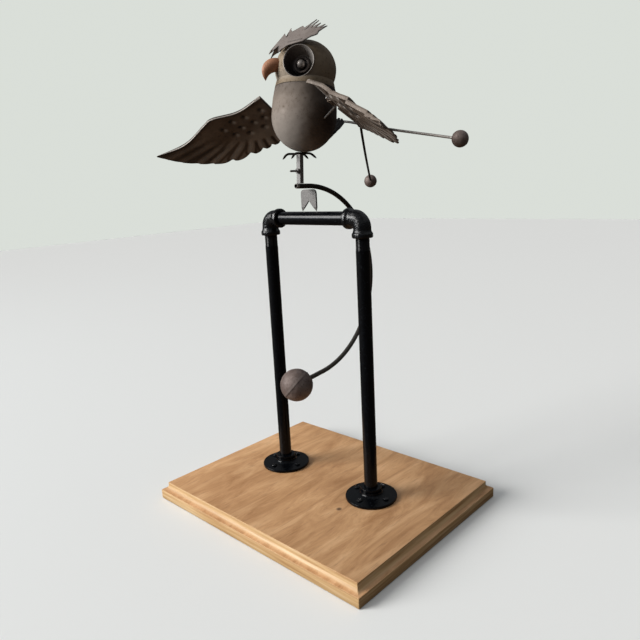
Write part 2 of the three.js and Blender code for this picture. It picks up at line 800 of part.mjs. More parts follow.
function hingePin(name, side) {
  const frame = wingFrame(side);
  const onHinge = (forward) => new THREE.Vector3(0, forward, 0).applyMatrix4(frame);
  const reach = bodyAt(strutHeight) + pinRadius + 2 * gap;
  const seat = new THREE.Vector3(
    side * reach * Math.cos(strutTurn), reach * Math.sin(strutTurn), strutHeight,
  );
  seat.applyAxisAngle(new THREE.Vector3(1, 0, 0), -owlLean).add(owlFoot);
  const path = bentWire([onHinge(pinFrom), onHinge(pinTo), seat], 4);
  return piece(name, swept(path, pinRadius, 6, 14), paleFinish);
}

function weightRod(name, side) {
  const weight = weights[wingSide(side)];
  const frame = wingFrame(side);
  const under = -wingThick / 2 - rodRadius - gap;
  const onWing = (forward) => new THREE.Vector3(rodInset, forward, under).applyMatrix4(frame);
  const ball = owlPoint(weight.at);
  const points = [...rodSeats.map(onWing), ...weight.bends.map(owlPoint)];
  const lead = points[points.length - 1];
  points.push(lead.clone().sub(ball).setLength(weight.radius + gap).add(ball));
  return piece(name, swept(new THREE.CatmullRomCurve3(points), rodRadius, rodSides, 22), rustFinish);
}

function weightBall(name, side) {
  const weight = weights[wingSide(side)];
  const ball = piece(name, new THREE.SphereGeometry(weight.radius, 12, 9), rustFinish);
  ball.position.copy(owlPoint(weight.at));
  return ball;
}

const owl = new THREE.Group();
owl.name = 'kinetic_owl';

const stand = new THREE.Group();
stand.name = 'stand';
stand.add(baseBoard(), barPipe());
for (const side of [1, -1]) {
  const hand = wingSide(side);
  stand.add(floorFlange(`flange_${hand}`, side), legPipe(`leg_pipe_${hand}`, side));
  stand.add(elbow(`elbow_${hand}`, side));
  screwSpots(side).forEach(([x, y], i) => {
    stand.add(flangeScrew(`flange_screw_${hand}_${i + 1}`, x, y));
  });
}

const rocker = new THREE.Group();
rocker.name = 'rocker';
rocker.add(pivotPlate(), rockerTube(), pendulumBall(), post(), setScrew(), bodyShell(), headShell(), beak());
rocker.add(crest(), tail());
for (const side of [1, -1]) {
  const hand = wingSide(side);
  rocker.add(foot(`foot_${hand}`, side), eyeCup(`eye_cup_${hand}`, side));
  rocker.add(irisRing(`iris_ring_${hand}`, side));
  rocker.add(pupil(`pupil_${hand}`, side), hingePin(`wing_pin_${hand}`, side));
}

owl.add(stand, rocker);
for (const side of [1, -1]) {
  const hand = wingSide(side);
  const flap = new THREE.Group();
  flap.name = `wing_${hand}_assembly`;
  flap.add(wing(`wing_${hand}`, side), weightRod(`wing_rod_${hand}`, side));
  flap.add(weightBall(`wing_weight_${hand}`, side));
  owl.add(flap);
}

export default owl;
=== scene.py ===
from types import SimpleNamespace
import bpy
import numpy as np
from mathutils import Matrix, Vector


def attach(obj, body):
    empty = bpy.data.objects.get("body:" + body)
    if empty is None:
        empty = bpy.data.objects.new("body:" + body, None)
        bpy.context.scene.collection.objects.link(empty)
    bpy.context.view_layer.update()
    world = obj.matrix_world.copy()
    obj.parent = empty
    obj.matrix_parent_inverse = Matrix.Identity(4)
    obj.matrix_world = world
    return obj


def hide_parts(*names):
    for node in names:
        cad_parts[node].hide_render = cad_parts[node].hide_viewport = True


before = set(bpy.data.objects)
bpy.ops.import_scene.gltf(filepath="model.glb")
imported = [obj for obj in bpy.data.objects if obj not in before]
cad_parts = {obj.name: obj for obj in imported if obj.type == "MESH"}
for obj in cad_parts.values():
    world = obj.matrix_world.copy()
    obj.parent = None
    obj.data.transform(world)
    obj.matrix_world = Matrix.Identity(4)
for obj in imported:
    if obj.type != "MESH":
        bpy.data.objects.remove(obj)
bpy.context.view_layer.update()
mm = 0.001
rad = np.radians
hands = (("left", 1), ("right", -1))  # the owl's own left and right


# small tools every piece uses; all points are in mm until they reach the mesh

def gridQuads(rows, cols, wrap=False):
    # quads between neighbouring grid points; wrap joins the last column to the first
    span = cols if wrap else cols - 1
    i, j = np.meshgrid(np.arange(rows - 1), np.arange(span), indexing="ij")
    k = (j + 1) % cols
    quads = np.stack([i * cols + j, i * cols + k, (i + 1) * cols + k, (i + 1) * cols + j], -1)
    return quads.reshape(-1, 4)


def makePiece(name, parts, body, material, nodes, sharp=35, tone=None):
    # parts: (points, quads, end caps) each, joined into one mesh; tone marks dirt, worn edges, painted shade and
    # painted light
    points, faces, count = [], [], 0
    for pts, quads, *caps in parts:
        pts = np.asarray(pts, float).reshape(-1, 3)
        points.append(pts)
        faces += (np.asarray(quads) + count).tolist()
        faces += [(np.asarray(cap) + count).tolist() for cap in caps]
        count += len(pts)
    mesh = bpy.data.meshes.new(name)
    mesh.from_pydata((np.concatenate(points) * mm).tolist(), [], faces)
    if tone is not None:
        mark = mesh.attributes.new("tone", "FLOAT", "POINT")
        mark.data.foreach_set("value", np.clip(tone, -1, 1).astype(np.float32).ravel())
    mesh.validate()
    mesh.polygons.foreach_set("use_smooth", np.ones(len(mesh.polygons), bool))
    mesh.set_sharp_from_angle(angle=rad(sharp))
    piece = bpy.data.objects.new(name, mesh)
    bpy.context.scene.collection.objects.link(piece)
    mesh.materials.append(material)
    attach(piece, body)
    if nodes:
        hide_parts(*nodes)
    return piece


def ringGrid(rings, capFirst=True, capLast=True, flip=False):
    # rings R x C x 3 skinned round, ends closed with one face each
    r, c = rings.shape[:2]
    quads = gridQuads(r, c, True)
    caps = []
    if capFirst:
        caps.append(np.arange(c)[::-1])
    if capLast:
        caps.append(np.arange((r - 1) * c, r * c))
    if flip:
        quads, caps = quads[:, ::-1], [cap[::-1] for cap in caps]
    return rings.reshape(-1, 3), quads, *caps


def around(count):
    # equal angles once round, ending one step short of the start
    return np.linspace(0, 2 * np.pi, count, endpoint=False)


def partOf(x, whole):
    # x as a part of a whole, kept between 0 and 1
    return np.clip(x / whole, 0, 1)


def bell(x, wide):
    # 1 at nought, falling away to both sides: exp(-(x / wide) squared)
    return np.exp(-(x / wide) ** 2)


def turned(profile, sides=48):
    # profile of (radius, height) carried round Z: (r cos a, r sin a, z)
    profile = np.asarray(profile, float)
    a = around(sides)
    r, z = np.maximum(profile[:, :1], 0.02), profile[:, 1:]
    return np.stack([r * np.cos(a), r * np.sin(a), z + 0 * a], -1)


def placed(grid, origin, xAxis, yAxis, zAxis):
    # grid coordinates laid out along three axes from an origin
    return np.asarray(origin, float) + grid @ np.array([xAxis, yAxis, zAxis], float)


def unit(v):
    # the same direction at length 1
    v = np.asarray(v, float)
    return v / np.linalg.norm(v, axis=-1, keepdims=True)


def sweep(path, radii, sides=16, side=(1, 0, 0)):
    # circle of the given radius carried along a path; the side vector keeps it from twisting
    path = np.asarray(path, float)
    along = unit(np.gradient(path, axis=0))
    normal = unit(np.cross(along, np.asarray(side, float)))
    other = np.cross(normal, along)
    a = around(sides)[None, :, None]
    r = np.broadcast_to(np.asarray(radii, float), (len(path),))[:, None, None]
    return path[:, None] + r * (np.cos(a) * normal[:, None] + np.sin(a) * other[:, None])


def throughPoints(points, steps, power=0.5):
    # smooth curve through points, knots spaced by distance to a power (0 gives even knots)
    p = np.asarray(points, float)
    p = np.vstack([2 * p[0] - p[1], p, 2 * p[-1] - p[-2]])
    out = []
    for k in range(1, len(p) - 2):
        q = p[k - 1:k + 3]
        t = np.concatenate([[0], np.cumsum(np.maximum(np.linalg.norm(np.diff(q, axis=0), axis=1), 1e-6) ** power)])
        u = np.linspace(t[1], t[2], steps, endpoint=False)[:, None]
        mix = lambda a, b, lo, hi: ((hi - u) * a + (u - lo) * b) / (hi - lo)
        a1, a2, a3 = (mix(q[i], q[i + 1], t[i], t[i + 1]) for i in range(3))
        out.append(mix(mix(a1, a2, t[0], t[2]), mix(a2, a3, t[1], t[3]), t[1], t[2]))
    return np.vstack(out + [p[-2:-1]])


def evenly(path, count):
    # the same curve at equal steps of length
    d = np.concatenate([[0], np.cumsum(np.linalg.norm(np.diff(path, axis=0), axis=1))])
    s = np.linspace(0, d[-1], count)
    return np.stack([np.interp(s, d, path[:, i]) for i in range(path.shape[1])], -1)


def bentWire(corners, bend, steps=8):
    # straight runs with each corner rounded by a parabola that starts and ends `bend` from it
    c = np.asarray(corners, float)
    path = [c[:1]]
    for before, here, after in zip(c[:-2], c[1:-1], c[2:]):
        a, b = here + bend * unit(before - here), here + bend * unit(after - here)
        u = np.linspace(0, 1, steps)[:, None]
        path.append((1 - u) ** 2 * a + 2 * u * (1 - u) * here + u ** 2 * b)
    return np.vstack(path + [c[-1:]])


def nearLine(x, y, start, end):
    # distance from a straight mark, and how far along it
    a, d = np.array(start, float), np.subtract(end, start).astype(float)
    u = np.clip(((x - a[0]) * d[0] + (y - a[1]) * d[1]) / (d @ d), 0, 1)
    return np.hypot(x - a[0] - u * d[0], y - a[1] - u * d[1]), u


def trimmedSheet(outline, step):
    # square grid over an outline: squares with their middle outside are dropped, rim corners slide onto the outline
    a = np.asarray(outline, float)
    d = np.roll(a, -1, 0) - a
    x, y = (np.arange(lo - step, hi + step, step) for lo, hi in zip(a.min(0), a.max(0)))
    quads = gridQuads(len(x), len(y))
    pts = np.stack(np.meshgrid(x, y, indexing="ij"), -1).reshape(-1, 2)
    mid = pts[quads].mean(1)[:, None]
    crosses = (a[:, 1] > mid[..., 1]) != (a[:, 1] + d[:, 1] > mid[..., 1])
    rise = np.where(abs(d[:, 1]) < 1e-9, 1e-9, d[:, 1])
    left = mid[..., 0] < a[:, 0] + d[:, 0] * (mid[..., 1] - a[:, 1]) / rise
    quads = quads[(crosses & left).sum(1) % 2 == 1]
    used, quads = np.unique(quads, return_inverse=True)
    pts, quads = pts[used], quads.reshape(-1, 4)
    rim = np.bincount(quads.ravel(), minlength=len(pts)) < 4
    off = pts[rim][:, None] - a
    u = np.clip((off * d).sum(-1) / (d * d).sum(-1), 0, 1)[..., None]
    spots = a + u * d
    best = np.argmin(np.linalg.norm(pts[rim][:, None] - spots, axis=-1), 1)
    pts[rim] = spots[np.arange(len(best)), best]
    return pts, quads


def lumps(p, size, seed):
    # soft unevenness between -1 and 1: a few sine waves in fixed, uneven directions
    rng = np.random.default_rng(seed)
    waves = rng.normal(size=(9, 3)) / size
    phase = rng.uniform(0, 6.28, 9)
    return np.sin(np.asarray(p) @ waves.T + phase).mean(-1) * 1.6


# finishes

def nodeTools(tree):
    # short ways to add nodes to a tree and join them: a socket is linked, a plain value is set

    def node(kind, **values):
        made = tree.nodes.new("ShaderNode" + kind)
        for key, value in values.items():
            if key in made.inputs:
                made.inputs[key].default_value = value
            else:
                setattr(made, key, value)
        return made

    def join(value, socket):
        if isinstance(value, bpy.types.NodeSocket):
            tree.links.new(value, socket)
        else:
            socket.default_value = value

    def pattern(kind, vector, **values):
        made = node(kind, **values)
        join(vector, made.inputs["Vector"])
        return made.outputs["Distance" if kind == "TexVoronoi" else "Fac"]

    def stretched(vector, scale):
        made = node("Mapping", Scale=scale)
        join(vector, made.inputs["Vector"])
        return made.outputs["Vector"]

    def between(value, low, high, toLow=0.0, toHigh=1.0):
        made = node("MapRange", **{"From Min": low, "From Max": high, "To Min": toLow, "To Max": toHigh})
        join(value, made.inputs["Value"])
        return made.outputs["Result"]

    def blend(share, first, second, **values):
        made = node("Mix", data_type="RGBA", **values)
        for place, value in ((0, share), (6, first), (7, second)):
            join(value, made.inputs[place])
        return made.outputs[2]

    def ramp(value, *stops):
        made = node("ValToRGB")
        marks = made.color_ramp.elements
        marks.remove(marks[0])
        marks[0].position, marks[0].color = stops[0][0], (*stops[0][1], 1)
        for at, colour in stops[1:]:
            marks.new(at).color = (*colour, 1)
        join(value, made.inputs["Fac"])
        return made.outputs["Color"]

    def bump(height, strength, distance, under=None):
        made = node("Bump", Strength=strength, Distance=distance)
        join(height, made.inputs["Height"])
        if under:
            join(under, made.inputs["Normal"])
        return made.outputs["Normal"]

    return SimpleNamespace(node=node, join=join, pattern=pattern, stretched=stretched, between=between,
                           blend=blend, ramp=ramp, bump=bump)


def newMaterial(name):
    material = bpy.data.materials.new(name)
    material.use_nodes = True
    return material, nodeTools(material.node_tree)


def shade(material, tools, sockets):
    shader = material.node_tree.nodes["Principled BSDF"]
    for name, value in sockets.items():
        tools.join(value, shader.inputs[name])
    return material


def patinaSteel(name, tones, speck, scale=1.0, rough=(0.42, 0.68), metal=0.35, dents=0.25, shine=0.5,
                sootAndShade=(0.006, 0.004, 0.003)):
    # cloudy patina between three tones, fine rust specks on top, hammered bump under it;
    # the mesh's own tone value (-1 to 1) darkens dirt in hollows and painted shade, and lightens worn edges and
    # painted light
    material, n = newMaterial(name)
    where = n.node("TexCoord").outputs["Object"]
    cloud = n.pattern("TexNoise", where, Scale=22 * scale, Detail=6.0, Roughness=0.62)
    fine = n.pattern("TexNoise", where, Scale=240 * scale, Detail=4.0, Roughness=0.7)
    hammer = n.pattern("TexVoronoi", where, Scale=95 * scale)
    tone = n.ramp(cloud, *zip((0.3, 0.5, 0.72), tones))
    specked = n.blend(n.between(fine, 0.56, 0.72), tone, (*speck, 1))
    mark = n.node("Attribute", attribute_name="tone").outputs["Fac"]
    wornAndLit = n.blend(mark, specked, (0.42, 0.39, 0.36, 1))
    grimeAndShade = n.blend(n.between(mark, 0.0, -1.0, 0.0, 0.92), wornAndLit, (*sootAndShade, 1))
    hammered = n.bump(hammer, dents, 0.0012)
    return shade(material, n, {
        "Base Color": grimeAndShade, "Roughness": n.between(fine, 0.3, 0.7, *rough), "Metallic": metal,
        "Specular IOR Level": shine, "Normal": n.bump(fine, 0.12, 0.0003, hammered)})


def blackIron(name, bumps, rough, shine):
    # gloss black over cast or drawn iron, with dust-pale pin specks
    material, n = newMaterial(name)
    where = n.node("TexCoord").outputs["Object"]
    skin = n.pattern("TexNoise", where, Scale=160.0, Detail=5.0, Roughness=0.65)
    pits = n.pattern("TexNoise", where, Scale=420.0, Detail=3.0)
    black = n.ramp(pits, (0.45, (0.0012, 0.0014, 0.002)), (0.68, (0.0035, 0.0045, 0.006)),
                   (0.8, (0.03, 0.034, 0.038)))
    return shade(material, n, {
        "Base Color": black, "Roughness": n.between(skin, 0.35, 0.7, *rough), "Specular IOR Level": shine,
        "Normal": n.bump(skin, bumps, 0.0016)})


def veneerBoard(name):
    # long streaks along Y on the face, paler moulded edges with thin ply lines
    material, n = newMaterial(name)
    where = n.node("TexCoord").outputs["Object"]
    broad = n.pattern("TexNoise", n.stretched(where, (38, 7, 38)), Scale=1.0, Detail=6.0, Roughness=0.7,
                      Distortion=1.0)
    fine = n.pattern("TexNoise", n.stretched(where, (360, 34, 360)), Scale=1.0, Detail=3.0, Roughness=0.6)
    plies = n.pattern("TexNoise", n.stretched(where, (9, 9, 260)), Scale=1.0, Detail=4.0)
    cloud = n.pattern("TexNoise", where, Scale=9.0, Detail=4.0)
    face = n.ramp(broad, (0.3, (0.40, 0.200, 0.082)), (0.5, (0.57, 0.320, 0.152)), (0.68, (0.70, 0.430, 0.228)))
    patch = n.ramp(cloud, (0.35, (0.84, 0.79, 0.73)), (0.65, (1.06, 1.05, 1.04)))
    tinted = n.blend(1.0, face, patch, blend_type="MULTIPLY")
    pored = n.blend(n.between(fine, 0.56, 0.76, 0.0, 0.42), tinted, (0.20, 0.085, 0.035, 1))
    far = n.node("VectorMath", operation="DISTANCE")  # one small knot in the face
    n.join(where, far.inputs[0])
    n.join((0.0802, -0.0498, 0.029), far.inputs[1])
    knot = n.between(far.outputs["Value"], 0.0055, 0.002, 0.0, 0.85)
    knotted = n.blend(knot, pored, (0.05, 0.022, 0.010, 1))
    facing = n.node("SeparateXYZ")
    n.join(n.node("NewGeometry").outputs["Normal"], facing.inputs["Vector"])
    edge = n.ramp(plies, (0.3, (0.38, 0.20, 0.075)), (0.55, (0.56, 0.36, 0.17)), (0.8, (0.72, 0.53, 0.31)))
    whole = n.blend(n.between(facing.outputs["Z"], 0.96, 0.7), knotted, edge)
    return shade(material, n, {"Base Color": whole, "Roughness": 0.52, "Normal": n.bump(fine, 0.18, 0.0004)})


bodyPatina = patinaSteel("body_patina", [(0.140, 0.109, 0.086), (0.190, 0.155, 0.128), (0.245, 0.206, 0.177)],
                         (0.11, 0.08, 0.06), rough=(0.58, 0.78), metal=0.15, dents=0.12, shine=0.2,
                         sootAndShade=(0.010, 0.0035, 0.0015))
headPatina = patinaSteel("head_patina", [(0.130, 0.092, 0.053), (0.195, 0.145, 0.094), (0.255, 0.198, 0.138)],
                         (0.085, 0.053, 0.027), rough=(0.55, 0.75), metal=0.15, dents=0.14, shine=0.25,
                         sootAndShade=(0.014, 0.007, 0.002))
wingPatina = patinaSteel("wing_patina", [(0.072, 0.050, 0.034), (0.115, 0.083, 0.060), (0.170, 0.132, 0.102)],
                         (0.04, 0.024, 0.016), rough=(0.48, 0.72), metal=0.25, dents=0.06)
crestPatina = patinaSteel("crest_patina", [(0.145, 0.117, 0.102), (0.195, 0.161, 0.143), (0.25, 0.212, 0.19)],
                          (0.12, 0.085, 0.07), rough=(0.5, 0.75), metal=0.2, dents=0.05)
ballPatina = patinaSteel("ball_patina", [(0.075, 0.050, 0.043), (0.145, 0.106, 0.092), (0.235, 0.19, 0.172)],
                         (0.04, 0.02, 0.015), scale=1.7, rough=(0.45, 0.75), metal=0.25)
tubePatina = patinaSteel("tube_patina", [(0.011, 0.0085, 0.006), (0.019, 0.015, 0.011), (0.038, 0.030, 0.023)],
                         (0.011, 0.007, 0.005), scale=1.6, rough=(0.5, 0.7), metal=0.2, dents=0.04, shine=0.25)
# a lighter grey steel for the right counter rod, as painted light
litRodSteel = patinaSteel("lit_rod_steel", [(0.14, 0.126, 0.112), (0.21, 0.195, 0.18), (0.29, 0.27, 0.25)],
                       (0.08, 0.065, 0.055), scale=2.0, rough=(0.38, 0.55), dents=0.02, shine=0.3)
beakRust = patinaSteel("beak_rust", [(0.22, 0.083, 0.036), (0.33, 0.138, 0.066), (0.43, 0.205, 0.115)],
                       (0.12, 0.042, 0.02), scale=1.8, rough=(0.45, 0.7), metal=0.1, dents=0.1)
greySteel = patinaSteel("grey_steel", [(0.120, 0.113, 0.108), (0.143, 0.136, 0.130), (0.165, 0.158, 0.152)],
                        (0.10, 0.09, 0.08), scale=2.0, rough=(0.42, 0.6), metal=0.3, dents=0.02)
postSteel = patinaSteel("post_steel", [(0.148, 0.142, 0.136), (0.166, 0.159, 0.152), (0.183, 0.175, 0.168)],
                        (0.13, 0.12, 0.11), scale=2.0, rough=(0.42, 0.6), metal=0.2, dents=0.0)
brightSteel = patinaSteel("bright_steel", [(0.40, 0.385, 0.37), (0.50, 0.485, 0.465), (0.60, 0.58, 0.56)],
                          (0.25, 0.22, 0.2), scale=2.0, rough=(0.25, 0.4), metal=0.6, dents=0.01)
eyeSteel = patinaSteel("eye_steel", [(0.052, 0.040, 0.034), (0.100, 0.080, 0.070), (0.150, 0.124, 0.110)],
                       (0.03, 0.02, 0.015), scale=1.4, rough=(0.32, 0.5), metal=0.35, dents=0.06)
drawnPipe = blackIron("black_pipe", 0.05, (0.12, 0.24), 0.15)
castIron = blackIron("black_casting", 0.7, (0.14, 0.34), 0.38)
flangeIron = blackIron("black_flange", 0.35, (0.1, 0.24), 0.12)
boardWood = veneerBoard("board_wood")
print("finishes made")


# stand

board = dict(width=452, depth=358, corner=1.2,
             foot=[(1.0, 0), (0.3, 0.3), (0, 1.0), (0, 15.2), (0.25, 15.75), (0.8, 16), (1.8, 16.1)],
             coveFrom=(1.8, 16.1), coveTo=(9.4, 24.4), top=[(9.4, 28.4), (9.6, 28.8), (10.1, 29)])


def boardRings():
    # rectangle with rounded corners, shrunk by each profile inset and lifted to its height
    turn = np.linspace(0, np.pi / 2, 9)[1:]
    (i0, z0), (i1, z1) = board["coveFrom"], board["coveTo"]
    cove = np.stack([i0 + (i1 - i0) * np.sin(turn), z0 + (z1 - z0) * (1 - np.cos(turn))], -1)
    profile = np.vstack([board["foot"], cove, board["top"]])
    a = rad(np.concatenate([np.linspace(q, q + 90, 4) for q in (0, 90, 180, 270)]))
    corner = board["corner"]
    cx = np.repeat([1, -1, -1, 1], 4) * (board["width"] / 2 - profile[:, :1] - corner)
    cy = np.repeat([1, 1, -1, -1], 4) * (board["depth"] / 2 - profile[:, :1] - corner)
    return np.stack([cx + corner * np.cos(a), cy + corner * np.sin(a), profile[:, 1:] + 0 * cx], -1)


makePiece("board", [ringGrid(boardRings())], "stand", boardWood, ["base_board"], sharp=28)

stand = dict(x=-3.2, y=11.4, spacing=199.6, bar=477.2, pipe=10.65, top=29.3, thread=1.9, threadDepth=0.45,
             lowEnd=(32, 60), lowThread=(46, 50), highEnd=(424.7, 460.5), highThread=(430, 449.5),
             barInset=16.3, barThreads=(15, 13))


def legX(side):
    return stand["x"] + side * stand["spacing"] / 2


def threadedPipe(start, end, threads, sides=48):
    # straight pipe whose surface sinks along a helix inside the threaded stretches
    z = np.arange(start, end + 0.25, 0.3) if threads else np.linspace(start, end, 30)
    a = around(sides)
    cut = np.zeros_like(z)
    for lo, hi in threads:
        cut = np.maximum(cut, partOf(np.minimum(z - lo, hi - z), 1.5))
    wave = 0.5 - 0.5 * np.cos(2 * np.pi * z[:, None] / stand["thread"] - a)
    r = stand["pipe"] - stand["threadDepth"] * cut[:, None] * (0.25 + wave)
    return np.stack([r * np.cos(a), r * np.sin(a), z[:, None] + 0 * a], -1)


def legRings(side):
    # fine rings where a thread shows at either end, few along the plain run between
    low = threadedPipe(*stand["lowEnd"], [stand["lowThread"]])
    mid = threadedPipe(stand["lowEnd"][1] + 0.3, stand["highEnd"][0] - 0.3, [])
    high = threadedPipe(*stand["highEnd"], [stand["highThread"]])
    return np.vstack([low, mid, high]) + [legX(side), stand["y"], 0]


# the rim is given as mm in from its edge and up, the rest as radius and height
flange = dict(rim=42, screws=30, under=[(11, 0.6), (11, 0)],
              edge=[(1.2, 0), (0.3, 0.4), (0, 1.4), (0, 3.6), (0.4, 4.4), (1.6, 4.75)],
              hub=[(32, 5.5), (22.5, 6.5), (19.5, 7.4), (17.8, 9), (17, 11), (16.7, 14.5), (16.9, 15.2), (17, 18),
                   (16.6, 18.8), (15.8, 19), (11.2, 19), (10.9, 18), (10.8, 10)])


def flangeRings(side):
    # turned profile: flat under, rounded rim, dished top, hub with an open mouth; the cast faces are uneven
    edge = [(flange["rim"] - inset, z) for inset, z in flange["edge"]]
    rings = turned(flange["under"] + edge + flange["hub"], 72)
    cast = slice(4, 14)
    rings[cast, :, 2] += 0.28 * lumps(rings[cast], 9.0, 3 + side)
    return rings + [legX(side), stand["y"], stand["top"]]


screw = dict(radii=[0.02, 0.5, 0.9, 1.3, 1.8, 2.3, 2.8, 3.3, 3.8, 4.2, 4.5, 4.6, 4.5], dome=2.75, ball=5.0,
             slot=0.75, slotReach=2.6, slotDepth=1.1, seat=6.6)


def screwGrid(x, y, spin):
    # domed head on a polar grid with a cross sunk into it, then down under the rim
    r = np.array(screw["radii"])[:, None]
    a = around(48)[None]
    z = screw["dome"] * np.sqrt(np.clip(1 - (r / screw["ball"]) ** 2, 0, 1)) - 0.2
    z[-1] = 0.02
    px, py = r * np.cos(a + spin), r * np.sin(a + spin)
    cross = partOf(screw["slot"] - np.minimum(abs(px), abs(py)), 0.25) * partOf(screw["slotReach"] - r, 0.5)
    grid = np.stack([r * np.cos(a), r * np.sin(a), z - screw["slotDepth"] * cross], -1)
    return grid + [x, y, stand["top"] + screw["seat"]]


elbowFit = dict(reach=28, turn=15, body=13.4, band=15.8)


def bandedArm():
    # socket end of an elbow: plain neck, raised band, rolled mouth
    neck, band, turn, m = elbowFit["body"], elbowFit["band"], elbowFit["turn"], -elbowFit["reach"]
    return turned([(neck - 0.2, -turn + 2), (neck, -turn - 1), (neck + 0.5, m + 9), (band - 0.9, m + 7.4),
                   (band - 0.1, m + 6.4), (band, m + 5), (band, m + 1.6), (band - 0.4, m + 0.5), (band - 1.3, m),
                   (11.2, m), (10.95, m + 0.6), (10.9, m + 8)], 56)


def elbowParts(side):
    # round body along the curve (1-u)^2 down + u^2 across, with a banded socket at each end
    e = elbowFit
    u = np.linspace(0, 1, 25)[:, None]
    far = e["turn"] + 1
    path = (1 - u) ** 2 * np.array([0, 0, -far]) + u ** 2 * np.array([far, 0, 0])
    bend = sweep(path, e["body"], 56, (0, 1, 0))
    bend += 0.35 * lumps(bend, 7.0, 11 + side)[..., None] * unit(bend - path[:, None])
    down = bandedArm()
    across = placed(down, (0, 0, 0), (0, 0, 1), (0, 1, 0), (-1, 0, 0))
    parts = []
    for grid, flip in ((bend, False), (down, True), (across, True)):
        spun = grid * ([1, 1, 1] if side < 0 else [-1, -1, 1]) + [legX(side), stand["y"], stand["bar"]]
        parts.append(ringGrid(spun, False, False, flip))
    return parts


for hand, side in hands:
    makePiece("leg_" + hand, [ringGrid(legRings(side))], "stand", drawnPipe, ["leg_pipe_" + hand])
    makePiece("floor_flange_" + hand, [ringGrid(flangeRings(side), False, False)], "stand", flangeIron,
              ["flange_" + hand])
    makePiece("pipe_elbow_" + hand, elbowParts(side), "stand", castIron, ["elbow_" + hand], sharp=50)
    for k in range(4):
        a = k * np.pi / 2
        at = (legX(side) + flange["screws"] * np.cos(a), stand["y"] + flange["screws"] * np.sin(a))
        head = ringGrid(screwGrid(*at, 0.6 * k + side), True, False, True)
        makePiece(f"screw_{hand}_{k + 1}", [head], "stand", castIron, [f"flange_screw_{hand}_{k + 1}"])

barHalf = stand["spacing"] / 2 - stand["barInset"]
barThreads = [(barHalf - stand["barThreads"][0], barHalf), (-barHalf, stand["barThreads"][1] - barHalf)]
bar = threadedPipe(-barHalf, barHalf, barThreads)
bar = placed(bar, (stand["x"], stand["y"], stand["bar"]), (0, 0, -1), (0, 1, 0), (1, 0, 0))
makePiece("top_bar", [ringGrid(bar)], "stand", drawnPipe, ["bar_pipe"])
print("stand made")


# rocker: arm, ball, post, feet

rocker = dict(x=-7.9, y=11.4, z=487.85)  # middle of the line the plate's tips stand on
# nose, centre and ball are mm behind that line and above it
arm = dict(nose=(-28.2, 40.2), mouth=[14, 9, 4, 0.4, 0.0, 0.0, 0.5], centre=(-6, -114), radius=153.5,
           turns=(86, -86), tube=3.8, bore=2.5, ball=(-52.4, -272.8), ballRadius=26.5,
           seam=(-0.67, -0.34, 0.66), front=(0.5, -0.87, 0.05))


def fromPivot(back, up):
    back, up = np.asarray(back, float), np.asarray(up, float)
    return np.stack([rocker["x"] + 0 * back, rocker["y"] + back, rocker["z"] + up], -1)


def armRings():
    # straight nose, round sweep, straight run to the ball; the bore shows at the open nose
    a = rad(np.linspace(*arm["turns"], 90))
    back, up = arm["centre"]
    sweepPart = fromPivot(back + arm["radius"] * np.cos(a), up + arm["radius"] * np.sin(a))
    nose, ball = fromPivot(*arm["nose"]), fromPivot(*arm["ball"])
    end = ball + arm["ballRadius"] * unit(sweepPart[-1] - ball)
    path = evenly(np.vstack([nose[None], sweepPart, end[None]]), 170)
    step = unit(path[1] - path[0])
    mouth = nose + step * np.array(arm["mouth"])[:, None]
    bore, tube = arm["bore"], arm["tube"]
    radii = np.array([bore] * 3 + [bore + 0.15, bore + 0.5, tube - 0.4, tube] + [tube] * (len(path) - 1))
    whole = np.vstack([mouth, path[1:]])
    along = np.vstack([np.repeat(step[None], len(mouth), 0), unit(np.gradient(path, axis=0))[1:]])
    across = np.array([1.0, 0, 0])
    normal = unit(np.cross(along, across))
    a = around(24)[None, :, None]
    return whole[:, None] + radii[:, None, None] * (np.cos(a) * normal[:, None] + np.sin(a) * across)


def seamedBall(centre, radius, seam, rise, seed, rows=110, cols=150):
    # sphere with a low weld bead along one great circle and slight dents
    polar = np.linspace(0.004, np.pi - 0.004, rows)[:, None]
    a = around(cols)[None]
    d = np.stack([np.sin(polar) * np.cos(a), np.sin(polar) * np.sin(a), np.cos(polar) + 0 * a], -1)
    off = d @ unit(seam) * radius
    bead = rise * bell(off, 1.1) * (0.75 + 0.25 * lumps(d * radius, 1.6, seed))
    r = radius - 0.1 + bead + 0.1 * lumps(d * radius, 5.0, seed + 1)
    return np.asarray(centre) + r[..., None] * d


armGrid = armRings()
armTone = np.zeros(armGrid.shape[:2])
armTone += np.interp(np.arange(len(armTone)), [100, 130], [0, 0.07])[:, None]  # browner and drier towards the ball
# painted shade: the bore is blackened inside
armTone[:4], armTone[4:8] = -1, 0.55  # black inside the bore, cut end rubbed bright
makePiece("pendulum_arm", [ringGrid(armGrid, flip=True)], "rocker", tubePatina, ["rocker_tube"],
          sharp=50, tone=armTone)
ballAt = fromPivot(*arm["ball"])
weight = seamedBall(ballAt, arm["ballRadius"], arm["seam"], 0.45, 5)
off = (weight - ballAt) @ unit(arm["seam"])
facing = unit(weight - ballAt) @ unit(arm["front"])
seamTone = 0.12 * bell(off - 3, 1.6)  # rubbed above the bead
seamTone -= bell(off, 0.8) * np.interp(facing, [0.3, 0.8], [0.15, 0.9])  # dirt along it, most at the front
makePiece("pendulum_weight", [ringGrid(weight, flip=True)], "rocker", ballPatina, ["pendulum_ball"],
          tone=seamTone)

# corners: mm outwards, back and above the level
footWire = dict(radius=1.7, spread=7.3, level=576,
                corners=[(2, -32, -8), (1.5, -23, 0), (0, 12, 0), (1.5, 23, -7.5)],
                bend=5, steps=70, point=0.09)


